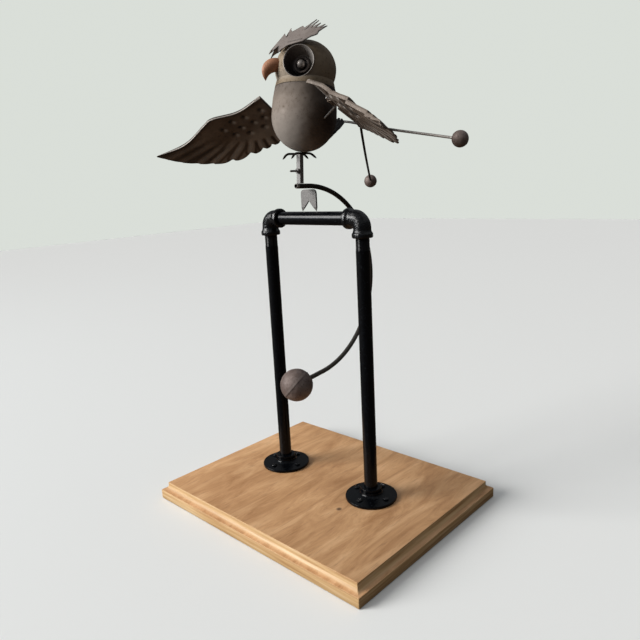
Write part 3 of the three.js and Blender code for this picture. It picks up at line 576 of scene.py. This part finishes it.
def footRings(side):
    # one bent wire, drawn to a blunt point at both claws
    f = footWire
    x = rocker["x"] + side * f["spread"]
    corners = [(x + side * out, back, f["level"] + up) for out, back, up in f["corners"]]
    path = evenly(bentWire(corners, f["bend"], 12), f["steps"])
    u = np.linspace(0, 1, f["steps"])
    r = f["radius"] * np.clip(np.sqrt(np.minimum(u, 1 - u) / f["point"]), 0.18, 1)
    return sweep(path, r, 14, (1, 0, 0))


# the post leans: heights of its ends, and how far back its middle is at each
postScrew = dict(height=550.5, post=(531.7, 577.6), middle=(-6.9, -4.2), half=3.75, gap=0.6, pitch=0.7)


def setScrewRings():
    # nut against the post, then a threaded shank with a rounded end
    s = postScrew
    shank = np.arange(3.1, 16.2, 0.12)
    thread = 1.45 + 0.15 * np.sin(2 * np.pi * shank / s["pitch"])
    z = np.concatenate([[0, 0.3, 0.3, 2.7, 3.0, 3.0], shank, [16.6, 16.95]])
    r = np.concatenate([[0.02, 3.3, 3.7, 3.7, 3.3, 1.5], thread, [1.2, 0.6]])
    face = np.interp(s["height"], s["post"], s["middle"]) - s["half"] - s["gap"]
    rings = turned(np.stack([r, z], -1), 24)
    return placed(rings, (rocker["x"], face, s["height"]), (1, 0, 0), (0, 0, 1), (0, -1, 0))


for hand, side in hands:
    makePiece("claw_foot_" + hand, [ringGrid(footRings(side))], "rocker", tubePatina, ["foot_" + hand])
makePiece("post_screw", [ringGrid(setScrewRings())], "rocker", greySteel, ["set_screw"])
for node, finish in (("pivot_plate", greySteel), ("owl_post", postSteel)):
    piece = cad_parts[node]
    piece.data.materials.clear()
    piece.data.materials.append(finish)
print("rocker made")


# owl body and head

# heights and radii along the leaning axis, from the bottom of the body
owl = dict(foot=(-7.9, 2.9, 578.4), lean=7.4, radius=49.7, waist=52, shoulder=103, seam=92.2, neck=102.6,
           bodySides=144, headAt=119.4, head=46, crown=42.4, headTurn=27, headSides=180,
           shadedSide=(0.80, 0.60, 0.0))
eye = dict(yaw=57, lift=10, radius=23.4, rim=41.6, floor=21, wall=1.3, clear=0.3, bowl=13, bowlCurve=2.1,
           iris=12.2, irisBore=8.6, pupil=6.2, sides=72, litAt=0.75)
owlFoot = np.array(owl["foot"])
lean = rad(owl["lean"])
owlAxes = np.array([[1, 0, 0], [0, np.cos(lean), -np.sin(lean)], [0, np.sin(lean), np.cos(lean)]])
headCentre = owlFoot + owl["headAt"] * owlAxes[2]
turn = rad(owl["headTurn"])
headAxes = np.array([[-np.sin(turn), -np.cos(turn), 0], [np.cos(turn), -np.sin(turn), 0], [0, 0, 1]])


def headPoint(p):
    # from forward, left and up of the head's middle
    return headCentre + np.asarray(p, float) @ headAxes


def eyeAxis(side):
    # the way an eye looks out
    yaw, lift = rad(eye["yaw"]), rad(eye["lift"])
    return np.array([np.cos(yaw) * np.cos(lift), side * np.sin(yaw) * np.cos(lift), np.sin(lift)]) @ headAxes


def cutEyes(grid, cap):
    # drop quads that lie wholly inside an eye's bore, and pull the cut edge onto the bore's circle
    r, c = grid.shape[:2]
    pts = grid.reshape(-1, 3).copy()
    faces = gridQuads(r, c, True)
    bore = eye["radius"] - eye["clear"]
    for side in (1, -1):
        axis = eyeAxis(side)
        off = pts - headCentre
        along = off @ axis
        out = off - along[:, None] * axis
        dist = np.linalg.norm(out, axis=1)
        inside = (dist < bore) & (along > 5)
        faces = faces[~inside[faces].all(1)]
        pts[inside] += (out / np.maximum(dist, 1e-6)[:, None] * (bore - dist)[:, None])[inside]
    return pts, faces, cap


def eggRadius(z):
    # half ellipse below the waist, a longer one above it
    half = np.where(z < owl["waist"], owl["waist"], owl["shoulder"])
    return owl["radius"] * np.sqrt(np.clip(1 - ((z - owl["waist"]) / half) ** 2, 0, 1))


def bodyGrid():
    # egg turned about the leaning axis and slightly hammered, with a low bead just under the head's seam
    waist, seam = owl["waist"], owl["seam"]
    low = waist - waist * np.cos(np.linspace(0.01, np.pi / 2, 60))
    z = np.concatenate([low, np.linspace(waist, seam, 70)[1:]])
    r = eggRadius(z) + 0.3 * bell(z - seam + 1.2, 0.8)
    grid = turned(np.stack([r, z], -1), owl["bodySides"])
    out = unit(grid * [1, 1, 0.2] - [0, 0, 8])
    grid = grid + (0.16 * lumps(grid, 7.0, 21) + 0.12 * lumps(grid, 3.4, 22) - 0.2)[..., None] * out
    return owlFoot + grid @ owlAxes


def headGrid():
    # carries on the egg from the seam to the neck, then round below its middle and flatter above it
    collar = np.linspace(owl["seam"] + 0.3, owl["neck"], 24)
    low = owl["neck"] + 0.3 - owl["headAt"]
    t = np.linspace(np.arcsin(low / owl["head"]), np.pi / 2 - 0.008, 110)
    z = np.concatenate([collar - owl["headAt"], np.where(t > 0, owl["crown"], owl["head"]) * np.sin(t)])
    r = np.concatenate([eggRadius(collar), owl["head"] * np.cos(t)])
    grid = turned(np.stack([r, z], -1), owl["headSides"])
    dents = 0.12 * lumps(grid, 6.5, 31) + 0.08 * lumps(grid, 3.0, 32) - 0.15
    return headCentre + grid * (1 + dents[..., None] / owl["head"]) @ owlAxes


def shaded(grid, dark, cheek):
    # painted shade on the owl's own left and back, the side away from the light, and darker up towards the neck;
    # painted light on the lower belly's lit side and on the cheeks, the collar under them darker
    side = unit(grid - (owlFoot + 60 * owlAxes[2])) @ unit(owl["shadedSide"])
    high = (grid - owlFoot) @ owlAxes[2]
    neck = 0.36 * partOf(high - 70, 26) + 0.34 * partOf(high - 72, 25) * np.clip(-2 * side, 0, 1)
    neck = neck * (high < owl["seam"] + 0.2)  # the body only
    belly = 0.58 * partOf(58 - high, 50) * partOf(0.5 - side, 0.6)
    low = bell(high - 105, 10) - 0.9 * partOf(101 - high, 7)
    line = 0.35 * bell(high - owl["seam"], 0.7)  # dirt in the seam
    return belly + cheek * low - line - dark * partOf(side - 0.15, 0.6) - neck


bodyRows, headRows = bodyGrid(), headGrid()
footCap = np.arange(owl["bodySides"])[::-1]
crownCap = np.arange((len(headRows) - 1) * owl["headSides"], len(headRows) * owl["headSides"])
makePiece("owl_body", [cutEyes(bodyRows, footCap)], "rocker", bodyPatina, ["body_shell"],
          tone=shaded(bodyRows, 0.88, 0))
makePiece("owl_head", [cutEyes(headRows, crownCap)], "rocker", headPatina, ["head_shell"],
          tone=shaded(headRows, 0.25, 0.2))


def eyeTurned(profile, side):
    # a turned profile set along the eye's own axis from the head's centre
    axis = eyeAxis(side)
    across = unit(np.cross([0, 0, 1.0], axis))
    return placed(turned(profile, eye["sides"]), headCentre, across, np.cross(axis, across), axis)


for hand, side in hands:
    e, w, floor = eye, eye["wall"], eye["floor"]
    roll = np.linspace(0, np.pi, 9)
    lip = np.stack([e["radius"] - w / 2 + w / 2 * np.cos(roll), e["rim"] - 0.6 + 0.75 * np.sin(roll)], -1)
    x = np.linspace(1, 0, 14)[1:]
    deep = floor + 0.1 + (e["rim"] - floor - 0.7) * x ** e["bowlCurve"]
    bowl = np.stack([e["bowl"] + (e["radius"] - w - e["bowl"]) * x, deep], -1)
    back = [(0, floor - 1.2), (e["radius"] - 2, floor - 1.2), (e["radius"], floor + 1)]
    cup = np.vstack([back, lip, bowl, [(0, floor)]])
    # painted shade on the wall towards the beak, painted light on the wall facing away from it
    towardLight = np.cos(around(e["sides"]) - (e["litAt"] if side > 0 else np.pi - e["litAt"]))
    litAndShaded = np.where(towardLight > 0, (0.75 if side > 0 else 0.1) * towardLight, 0.9 * towardLight) + 0 * cup[:, :1]
    # lip lighter; floor darkened as painted shade
    litAndShaded[3:12], litAndShaded[-2:] = 0.4, -0.5  # lip and floor
    makePiece("eye_socket_" + hand, [ringGrid(eyeTurned(cup, side))], "rocker", eyeSteel, ["eye_cup_" + hand],
              sharp=50, tone=litAndShaded)
    t = np.linspace(0, 2 * np.pi, 25)[:-1]
    square = lambda wave: np.sign(wave) * abs(wave) ** 0.6  # a circle drawn out towards a square
    middle, half = (e["iris"] + e["irisBore"]) / 2, (e["iris"] - e["irisBore"]) / 2
    ring = np.stack([middle + half * square(np.cos(t)), floor + 2.3 + 2 * square(np.sin(t))], -1)
    ring = np.vstack([ring, ring[:1]])
    makePiece("iris_" + hand, [ringGrid(eyeTurned(ring, side), False, False)], "rocker", eyeSteel,
              ["iris_ring_" + hand], sharp=50)
    pupilAt = headCentre + (floor + 0.3 + e["pupil"]) * eyeAxis(side)
    ball = seamedBall(pupilAt, e["pupil"], (0, 0, 1), 0.0, 41, 40, 56)
    shine = np.full(ball.shape[:2], 0.45)
    makePiece("pupil_ball_" + hand, [ringGrid(ball, flip=True)], "rocker", eyeSteel, ["pupil_" + hand],
              tone=shine)
print("head and eyes made")

beak = dict(top=[(36, 14.5), (57, 24), (78, 4), (63.6, -15)], bottom=[(36, -1), (52, -3), (58, -4), (63, -15)],
            half=10)


def cubic(points, u):
    # curve of four points, weighed (1-u)^3, 3u(1-u)^2, 3u^2(1-u) and u^3
    p = np.asarray(points, float)
    return (1 - u) ** 3 * p[0] + 3 * u * (1 - u) ** 2 * p[1] + 3 * u ** 2 * (1 - u) * p[2] + u ** 3 * p[3]


def beakRings():
    # egg-shaped rings between an upper and a lower curve, narrowing to the hooked tip
    u = np.linspace(0, 1, 44)[:, None]
    upper, lower = cubic(beak["top"], u), cubic(beak["bottom"], u)
    middle, tall = (upper + lower) / 2, (upper - lower) / 2
    wide = np.maximum(beak["half"] * (1 - u ** 1.7), 0.25)
    a = around(40)[None]
    across = np.sign(np.cos(a)) * abs(np.cos(a)) ** (1.0 + 0.25 * np.clip(np.sin(a), 0, 1))
    rise = np.sin(a)
    grid = np.stack([middle[:, :1] + tall[:, :1] * rise, wide * across, middle[:, 1:] + tall[:, 1:] * rise], -1)
    return headPoint(grid)


makePiece("owl_beak", [ringGrid(beakRings(), flip=True)], "rocker", beakRust, ["beak"],
          sharp=60)

crest = dict(front=(52, 7.5, 25), back=(-18, 37, 59), facing=(0.535, 0.521, 0.665), offset=48.4, thick=0.9,
             blunt=0.5, step=0.38,
             # spots round one half: share of the length, mm across
             nose=[(0.014, 2.5), (-0.011, -2.6), (0.118, 0.6), (0.064, -13), (0.136, -9)],
             outer=[(0.284, -7.7), (0.42, -12.3), (0.56, -16.8), (0.70, -17.4), (0.80, -20), (0.86, -16)],
             tips=[(1.021, -14.5), (1.008, -7.7), (0.951, 0.2), (0.947, 8.1), (0.925, 14.4)],
             slits=[(0.893, -10.2), (0.82, -3.8), (0.76, 1.3), (0.651, 4.8), (0.675, 10.2)],
             barbs=[(0.661, 17.5), (0.452, 18.1), (0.453, 28.4), (0.322, 9.6), (0.315, 23.2)],
             groove=[(0.31, -1.5), (0.55, -11.8)])


def crestHalf(side):
    # flat feather-cut sheet, slightly arched, scored along its length;
    # painted shade lies along the outer edge, the prongs and in one long groove
    c = crest
    along = np.subtract(c["back"], c["front"])
    length = np.linalg.norm(along)
    along = along / length
    facing = unit(c["facing"])
    facing = unit(facing - (facing @ along) * along)
    across = np.cross(facing, along)
    origin = np.array(c["front"]) + (c["offset"] - np.dot(c["front"], facing)) * facing
    inMm = lambda spots: np.array(spots, float) * [length, 1]
    nose, outer, tips = (inMm(c[k]) for k in ("nose", "outer", "tips"))
    slits, barbs, groove = (inMm(c[k]) for k in ("slits", "barbs", "groove"))
    prongs = np.stack([tips - [0, c["blunt"]], tips + [0, c["blunt"]], slits], 1).reshape(-1, 2)
    pts, quads = trimmedSheet(np.vstack([nose, outer, prongs, barbs]), c["step"])
    x, y = pts.T
    lines = np.sin(2.5 * y + 0.10 * x) + 0.6 * np.sin(4.3 * y - 0.13 * x + 1.0)
    z = 0.8 * np.cos(y / 15) + 0.07 * lines + 1.6 * np.clip(x / length - 0.7, 0, 1) * np.sin(y / 3.1)
    tone = 0.05 * lines
    edges = [(outer[k], outer[k + 1], 1.7) for k in range(2, 5)] + [(outer[-1], tips[0], 1.6)]
    edges += [(tip, slit, 0.7) for tip, slit in zip(tips, slits)]
    edges += [(barbs[0], barbs[1], 0.7), (nose[1], nose[2], 1.1), (nose[2], nose[3], 1.3)]
    for start, end, wide in edges:
        tone -= 0.95 * bell(nearLine(x, y, start, end)[0], wide)
    d = nearLine(x, y, *groove)[0]
    tone -= 0.95 * bell(d, 0.9)
    z -= 0.5 * bell(d, 0.6)
    p = origin + x[:, None] * along + y[:, None] * across + z[:, None] * facing
    return headPoint(p * [1, side, 1]), (quads if side > 0 else quads[:, ::-1]), tone


def thickened(piece, thick):
    # gives a sheet its thickness, half to each side
    wall = piece.modifiers.new("wall", "SOLIDIFY")
    wall.thickness = thick * mm
    wall.offset = 0
    wall.use_even_offset = False
    return piece


halves = [crestHalf(1), crestHalf(-1)]
crestTone = np.concatenate([half[2] for half in halves])
plume = makePiece("owl_crest", [half[:2] for half in halves], "rocker", crestPatina, ["crest"],
                  sharp=60, tone=crestTone)
thickened(plume, crest["thick"])


def saw(x):
    # 0 over the middle of each tooth, 1 in the slit between two
    f = x - np.floor(x)
    return np.clip((abs(f - 0.5) - 0.36) / 0.14, 0, 1) ** 0.6


tail = dict(root=(30.7, 590.4), rise=35.4, length=68, corner=50, rootHalf=21.6, half=27.2, feathers=6, thick=1.4)


def tailGrid():
    # fan: width grows from root to end, the end follows a shallow arc cut between feathers, each slightly arched
    t = tail
    u, v = np.meshgrid(np.linspace(0, 1, 80), np.linspace(-1, 1, 145), indexing="ij")
    f = (v + 1) / 2 * t["feathers"]
    reach = t["length"] - (t["length"] - t["corner"]) * v ** 2 - 6.5 * saw(f) - 1.5 * abs(f % 1 - 0.4)
    k = u * reach
    half = t["rootHalf"] + (t["half"] - t["rootHalf"]) * np.clip(k / t["corner"], 0, 1.2)
    arch = 1.1 * np.sin(np.pi * (f % 1)) * np.clip(u * 1.6 - 0.2, 0, 1) + 0.25 * np.sin(f % 1 * 40 + k * 0.6) * u
    rise = rad(t["rise"])
    y = t["root"][0] + k * np.cos(rise) - arch * np.sin(rise)
    z = t["root"][1] + k * np.sin(rise) + arch * np.cos(rise)
    p = np.stack([rocker["x"] + v * half, y, z], -1)
    return p, gridQuads(*u.shape)[:, ::-1]


fan, fanQuads = tailGrid()
# painted shade: the whole fan darkened as if it lay in shadow
tailShade = np.full(fan.shape[:2], -0.8)
feathers = makePiece("tail_fan", [(fan, fanQuads)], "rocker", tubePatina, ["tail"], sharp=60,
                     tone=tailShade)
thickened(feathers, tail["thick"])
print("beak, crest and tail made")


# wings

# leading and trailing: mm out along the span and forward along the hinge, from the front corner
wing = dict(peak=(21.1, 52, 44.1), rise=29.2, toe=-8.9, droop=dict(left=27.4, right=30.7), thick=1.6,
            root=3.4, tip=210.8, lip=5.0, rootLip=dict(left=0.5, right=5.0), wireAt=-48,
            leading=[(3.4, 2), (47, 0), (87, 14.4), (107, 11.8), (155, 0.5), (211, 8.3)],
            trailing=[(211, 8.3), (189, -30.8), (152, -68.6), (121, -87.2), (66, -96.8), (3.4, -103.8)])
# feather ends along the trailing edge: where each notch lies, its depth, how fast the next lobe swells,
# how round it closes; a quill runs to each notch
lobes = dict(at=[3.4, 17, 32.5, 48.7, 65.1, 87, 120.5, 151.6, 170.2, 189.2, 202.2, 211.2],
             deep=[0, 5, 5.5, 6, 6.3, 8, 8.4, 4.2, 3.4, 2.6, 1.6, 0],
             swell=[4, 4, 4, 4, 3.4, 2.2, 1.7, 1.4, 1.2, 1, 1], close=[1, 1, 1, 1, 0.8, 0.25, 0, 0, 0, 0, 0],
             quills=[(14, -80), (31, -78), (46, -74), (58, -69), (67, -62), (80, -59), (88, -47), (100, -42),
                     (108, -29), (121, -15)])
# raised scales over the wrist, and where light catches beside each
scales = dict(at=[(20, -18.7), (24.6, -34.2), (43.7, -31.9), (48, -14), (36.2, -51.4), (70.1, -9), (65.6, -28.8),
                  (61.5, -47.2), (90.7, -14.1), (82.6, -34.7)], glint=(-3.2, -6.1), rise=2.8)
# the left wing's leading edge springs up in overlapping steps and its end curls down
stepped = dict(along=[0, 30, 50, 80, 100, 117.5, 118.2, 157.5, 158.2, 175, 175.7, 190, 203, 203.7, 211],
               lift=[3.5, 9, 7.5, 3.6, 4.2, 6.4, 2.8, 3.2, 0.8, 1.4, -0.4, -0.8, -1.2, -3.2, -4.2],
               reach=26, droop=-2.0, corner=8.7, crease=[(56, -20), (92, -29)],
               root=[(-104, -2.75), (-100, -3.75), (-90, -0.75), (-80, -0.25), (-60, 0.25), (-50, 0.66),
                     (-40, 1.4), (-30, 1.6), (-20, 0.8), (0, 0)])
owlMiddle = np.array([rocker["x"], -5, 620.0])


def wingAxes(side):
    # span, hinge and face directions, and the front corner where the hinge line starts
    rise, toe = rad(wing["rise"]), rad(wing["toe"])
    droop = rad(wing["droop"]["left" if side > 0 else "right"])
    hinge = np.array([np.cos(rise) * np.cos(toe), np.cos(rise) * np.sin(toe), np.sin(rise)])
    level = unit(np.array([0, 1.0, 0]) - hinge[1] * hinge)
    raised = np.cross(hinge, level)
    span = np.cos(droop) * level - np.sin(droop) * raised
    face = np.sin(droop) * level + np.cos(droop) * raised
    toObject = lambda v: np.array([side * v[1], -v[0], v[2]])
    f, l, u = wing["peak"]
    return owlMiddle + [side * l, -f, u], toObject(span), toObject(hinge), toObject(face)


def lobedEdge(s):
    # trailing curve lifted at each notch: depth x (1 - share)^swell after it, a quick round closing before the next
    trail = evenly(throughPoints(wing["trailing"], 40, 0), 600)[::-1]
    at, deep = np.array(lobes["at"]), np.array(lobes["deep"])
    i = np.clip(np.searchsorted(at, s, side="right") - 1, 0, len(at) - 2)
    share = np.clip((s - at[i]) / (at[i + 1] - at[i]), 0, 1)
    swell, close = np.array(lobes["swell"])[i], np.array(lobes["close"])[i]
    inset = deep[i] * (1 - share) ** swell + close * deep[i + 1] * partOf(share - 0.78, 0.22) ** 2
    return np.interp(s, trail[:, 0], trail[:, 1]) + inset - 1.2 * np.sin(np.pi * share)


def wingLocal(hand):
    # sheet between the leading and trailing curves, creased between feathers, scales pressed up over the wrist,
    # two edges folded down; x is out along the span, y forward along the hinge, z up off the face
    w, k = wing, stepped
    lead = throughPoints(w["leading"], 40, 0)
    at = np.array(lobes["at"])[1:-1]
    s = np.sort(np.concatenate([np.linspace(w["root"], w["tip"], 330), at - 0.12, at + 0.12]))
    edge = lobedEdge(s)[:, None]
    front = np.interp(s, lead[:, 0], lead[:, 1])[:, None]
    v = np.concatenate([np.linspace(0, 0.12, 14)[:-1], np.linspace(0.12, 1, 90)])
    x, v = np.meshgrid(s, v, indexing="ij")
    y = edge + v * np.maximum(front - edge, 0.4)
    flat = np.stack([x, y, 0 * x], -1)
    z = 0.25 * lumps(flat, 16.0, 51) + 0.10 * lumps(flat, 5.0, 52)
    tone = 0.10 * lumps(flat, 9.0, 53)
    for quill, notch in zip(lobes["quills"], at):
        end = (notch, lobedEdge(np.array([notch + 0.1]))[0])
        d, u = nearLine(x, y, quill, end)
        ease = partOf(u, 0.35) * (1 - 0.4 * partOf(notch - 120, 90))
        z -= 1.2 * ease * bell(d, 2.8)
        # painted highlight along each quill's ridge, painted shade in the crease beside it
        tone += ease * (0.36 * bell(d, 4.2) - 0.66 * bell(d - 8.0, 2.4))
    for px, py in scales["at"]:
        gx, gy = px + scales["glint"][0], py + scales["glint"][1]
        z += scales["rise"] * bell(x - (px + gx) / 2, 3.8) * bell(y - (py + gy) / 2, 4.2)
        # painted shade in each scale's pit, painted highlight on the glint beside it
        tone -= 1.4 * bell(x - px, 3.4) * bell(y - py, 3.2)
        tone += 1.1 * bell(x - gx, 3.1) * bell(y - gy, 2.8)
    if hand == "left":
        z += np.interp(x, k["along"], k["lift"]) * bell(front - y, k["reach"])
        z += k["droop"] * bell(y - edge, 18) * partOf(x - 20, 40)
        z += np.interp(y, *np.transpose(k["root"])) * bell(x - w["root"], 30)
        d = nearLine(x, y, *k["crease"])[0]
        z -= 2.0 * bell(d, 1.4)
        # painted shade along the crease; lighter along the root edge
        tone += 0.7 * bell(x - w["root"], 3.0) - 1.3 * bell(d, 2.2)
        y = y + k["corner"] * bell(x - w["root"], 26) * partOf(y + 24, 24)
        folded, rootTone = np.full((len(s), 6), 0.1), 1.0
    else:
        # lighter towards the feathers; painted shade in a band under the leading edge; darker along the trailing
        # edge
        tone += 0.02 + 0.42 * partOf(-y - 36, 25) - 0.75 * bell(front - y, 4.5) - 0.4 * bell(y - edge, 2.2)
        # bright line along the fold, partly worn edge and partly painted highlight, painted shade on either side;
        # near the front corner the rows turn dark
        folded = np.where(s < 14, -0.8, 1.0)[:, None] * np.array([-0.9, -0.5, 0.8, 0.8, -0.2, -0.9])
        rootTone = -0.6
    rows = np.linspace(0.12, 1, 7)[1:]  # leading edge folded down, less towards the tip
    ease = np.clip((212 - s) / 45, 0.1, 1)[:, None]
    x, y = np.hstack([x, np.repeat(x[:, -1:], 6, 1)]), np.hstack([y, y[:, -1:] + 0.5 + 0 * rows])
    z, tone = np.hstack([z, z[:, -1:] - w["lip"] * rows * ease]), np.hstack([tone, folded])
    x, y = np.vstack([x[:1] - 0.5 + 0 * rows[:, None], x]), np.vstack([np.repeat(y[:1], 6, 0), y])
    # root edge folded down, cut back where the hinge wire passes
    deep = w["rootLip"][hand] * (1 - 0.85 * np.exp(-((y[:1] - w["wireAt"]) / 8) ** 4))
    z = np.vstack([z[:1] - deep * rows[::-1, None], z])
    tone = np.vstack([np.full((6, tone.shape[1]), rootTone), tone])
    return np.stack([x, y, z], -1), tone


knuckle = dict(bore=1.65, mouth=2.9, radius=3.1, back=-46, front=-34, tabFrom=2.2, tabTo=6.5, tabHalf=0.8)


def knuckleParts(axes):
    # rolled knuckle round the hinge line with a tab to the sheet
    origin, span, hinge, face = axes
    k = knuckle
    bore, mouth, radius, back, front, h = (k[key] for key in ("bore", "mouth", "radius", "back", "front", "tabHalf"))
    tube = turned([(bore, back), (mouth, back), (radius, back + 0.4), (radius, front - 0.4), (mouth, front),
                   (bore, front), (bore, back)], 28)
    corners = ((back, -h), (front, -h), (front, h), (back, h))
    tab = np.array([[[x, *corner] for corner in corners] for x in (k["tabFrom"], k["tabTo"])], float)
    return placed(tube, origin, span, face, hinge), placed(tab, origin, span, hinge, face)


for hand, side in hands:
    axes = wingAxes(side)
    sheet, tone = wingLocal(hand)
    sheet = placed(sheet, *axes)
    faces = gridQuads(*sheet.shape[:2])
    if side < 0:
        faces = faces[:, ::-1]
    skin = makePiece("feather_wing_" + hand, [(sheet, faces)], "wing_" + hand, wingPatina, ["wing_" + hand],
                     sharp=40, tone=tone)
    thickened(skin, wing["thick"])
    tube, tab = knuckleParts(axes)
    rolled = [ringGrid(tube, False, False, side < 0), ringGrid(tab, True, True, side < 0)]
    makePiece("hinge_knuckle_" + hand, rolled, "wing_" + hand, wingPatina, [])

# seats lie on the wing, bends and ball from the owl's middle; tone: share of the length, with painted light where
# the value is above 0 and painted shade where it is below
rods = dict(radius=2.0, sides=16, steps=150, under=-0.8, seats=[(3.2, -54), (3.2, -80), (4.2, -102)],
            left=dict(radius=13, at=(-330.6, -125.6, -91.2), bends=[(-95, 45, -10), (-139, 15, -38)],
                      seam=(0.3, 0.5, 0.8), finish=tubePatina,
                      tone=[(0, 0.9), (0.13, 0.9), (0.165, -0.6), (1, -0.6)]),
            right=dict(radius=11.9, at=(-98.6, 218.4, -38.8),
                       bends=[(-116, -66, 8), (-141, -36, 11), (-130, 47, -6.5)],
                       seam=(0.7, -0.2, 0.6), finish=litRodSteel, tone=[(0, -1), (0.66, -1), (0.72, 0.35), (1, 0.45)]))


def owlPoint(p):
    # from forward, left and up of the owl's middle
    return owlMiddle + np.array([p[1], -p[0], p[2]])


for hand, side in hands:
    w = rods[hand]
    # welded along the root edge
    seats = np.array([[inset, y, rods["under"]] for inset, y in rods["seats"]], float)
    ball = owlPoint(w["at"])
    points = list(placed(seats, *wingAxes(side))) + [owlPoint(b) for b in w["bends"]]
    points.append(ball + w["radius"] * unit(points[-1] - ball))
    path = evenly(throughPoints(points, 40), rods["steps"])
    rod = ringGrid(sweep(path, rods["radius"], rods["sides"], (0, 0, 1)))
    litAndShaded = np.interp(np.linspace(0, 1, rods["steps"]), *np.transpose(w["tone"]))
    makePiece("counter_rod_" + hand, [rod], "wing_" + hand, w["finish"], ["wing_rod_" + hand],
              tone=np.repeat(litAndShaded, rods["sides"]))
    weight = seamedBall(ball, w["radius"], w["seam"], 0.25, 61 + side, 56, 72)
    makePiece("counter_ball_" + hand, [ringGrid(weight, flip=True)], "wing_" + hand, ballPatina,
              ["wing_weight_" + hand])

pin = dict(radius=1.3, start=-29, end=-50, height=43.6, turn=-9.5)
for hand, side in hands:
    origin, span, hinge, face = wingAxes(side)
    reach = eggRadius(pin["height"]) + pin["radius"] + 0.6
    turn = rad(pin["turn"])
    seat = np.array([side * reach * np.cos(turn), reach * np.sin(turn), pin["height"]]) @ owlAxes + owlFoot
    corners = [origin + pin["start"] * hinge, origin + pin["end"] * hinge, seat]
    path = evenly(bentWire(corners, 4, 12), 60)
    wire = ringGrid(sweep(path, pin["radius"], 14, (side, 0, 0.2)))
    makePiece("hinge_wire_" + hand, [wire], "rocker", brightSteel, ["wing_pin_" + hand])
print("wings made")


# floor, light and camera

floorMesh = bpy.data.meshes.new("floor")
floorMesh.from_pydata([(-6, -6, -0.0005), (6, -6, -0.0005), (6, 6, -0.0005), (-6, 6, -0.0005)], [], [(0, 1, 2, 3)])
floor = bpy.data.objects.new("floor", floorMesh)
bpy.context.scene.collection.objects.link(floor)
floorLook, n = newMaterial("pale_floor")
looked = n.node("LightPath").outputs["Is Camera Ray"]  # pale to look at, but throws little light back up
shade(floorLook, n, {"Base Color": n.blend(looked, (0.075, 0.052, 0.036, 1), (0.80, 0.80, 0.78, 1)),
                     "Roughness": 0.8})
floorMesh.materials.append(floorLook)

world = bpy.data.worlds.new("studio")
bpy.context.scene.world = world
world.use_nodes = True
n = nodeTools(world.node_tree)
aim = n.node("SeparateXYZ")
n.join(n.node("TexCoord").outputs["Generated"], aim.inputs["Vector"])
# what lights the piece: dim round the sides, brighter overhead; the camera sees plain pale ground behind it
dome = n.ramp(aim.outputs["Z"], (0.1, (0.034, 0.034, 0.034)), (0.9, (0.46, 0.48, 0.50)))
seen = n.blend(n.node("LightPath").outputs["Is Camera Ray"], dome, (0.70, 0.735, 0.69, 1))
n.join(seen, world.node_tree.nodes["Background"].inputs["Color"])
bpy.context.scene.view_settings.view_transform = "Standard"


def softBox(name, at, target, size, power, colour):
    light = bpy.data.lights.new(name, "AREA")
    light.shape = "RECTANGLE"
    light.size, light.size_y = size
    light.energy = power
    light.color = colour
    lamp = bpy.data.objects.new(name, light)
    bpy.context.scene.collection.objects.link(lamp)
    lamp.location = at
    lamp.rotation_euler = (Vector(target) - Vector(at)).to_track_quat("-Z", "Y").to_euler()


softBox("window", (-2.1, -2.6, 1.3), (0, 0, 0.5), (1.2, 1.6), 22, (0.82, 0.93, 1.0))
sun = bpy.data.lights.new("daylight", "SUN")
sun.energy, sun.angle, sun.color = 4.3, rad(34), (1.0, 0.985, 0.965)
lamp = bpy.data.objects.new("daylight", sun)
bpy.context.scene.collection.objects.link(lamp)
lamp.rotation_euler = Vector((0.60, 0.80, -0.44)).to_track_quat("-Z", "Y").to_euler()

shot = dict(at=(0.6594, -0.6777, 0.5329), azimuth=43.67, elevation=12.98, roll=-2.95, lens=33.73)
azimuth, elevation, roll = (rad(shot[k]) for k in ("azimuth", "elevation", "roll"))
back = np.array([np.sin(azimuth) * np.cos(elevation), -np.cos(azimuth) * np.cos(elevation), np.sin(elevation)])
right = unit(np.cross(-back, [0, 0, 1.0]))
up = np.cross(right, -back)
camRight, camUp = right * np.cos(roll) + up * np.sin(roll), up * np.cos(roll) - right * np.sin(roll)
lens = bpy.data.cameras.new("camera")
lens.lens, lens.sensor_width, lens.sensor_fit = shot["lens"], 36, "HORIZONTAL"
lens.dof.use_dof = False
camera = bpy.data.objects.new("camera", lens)
bpy.context.scene.collection.objects.link(camera)
placing = np.stack([camRight, camUp, back, shot["at"]], 1)
camera.matrix_world = Matrix([*placing.tolist(), (0, 0, 0, 1)])
bpy.context.scene.camera = camera
print("camera set")
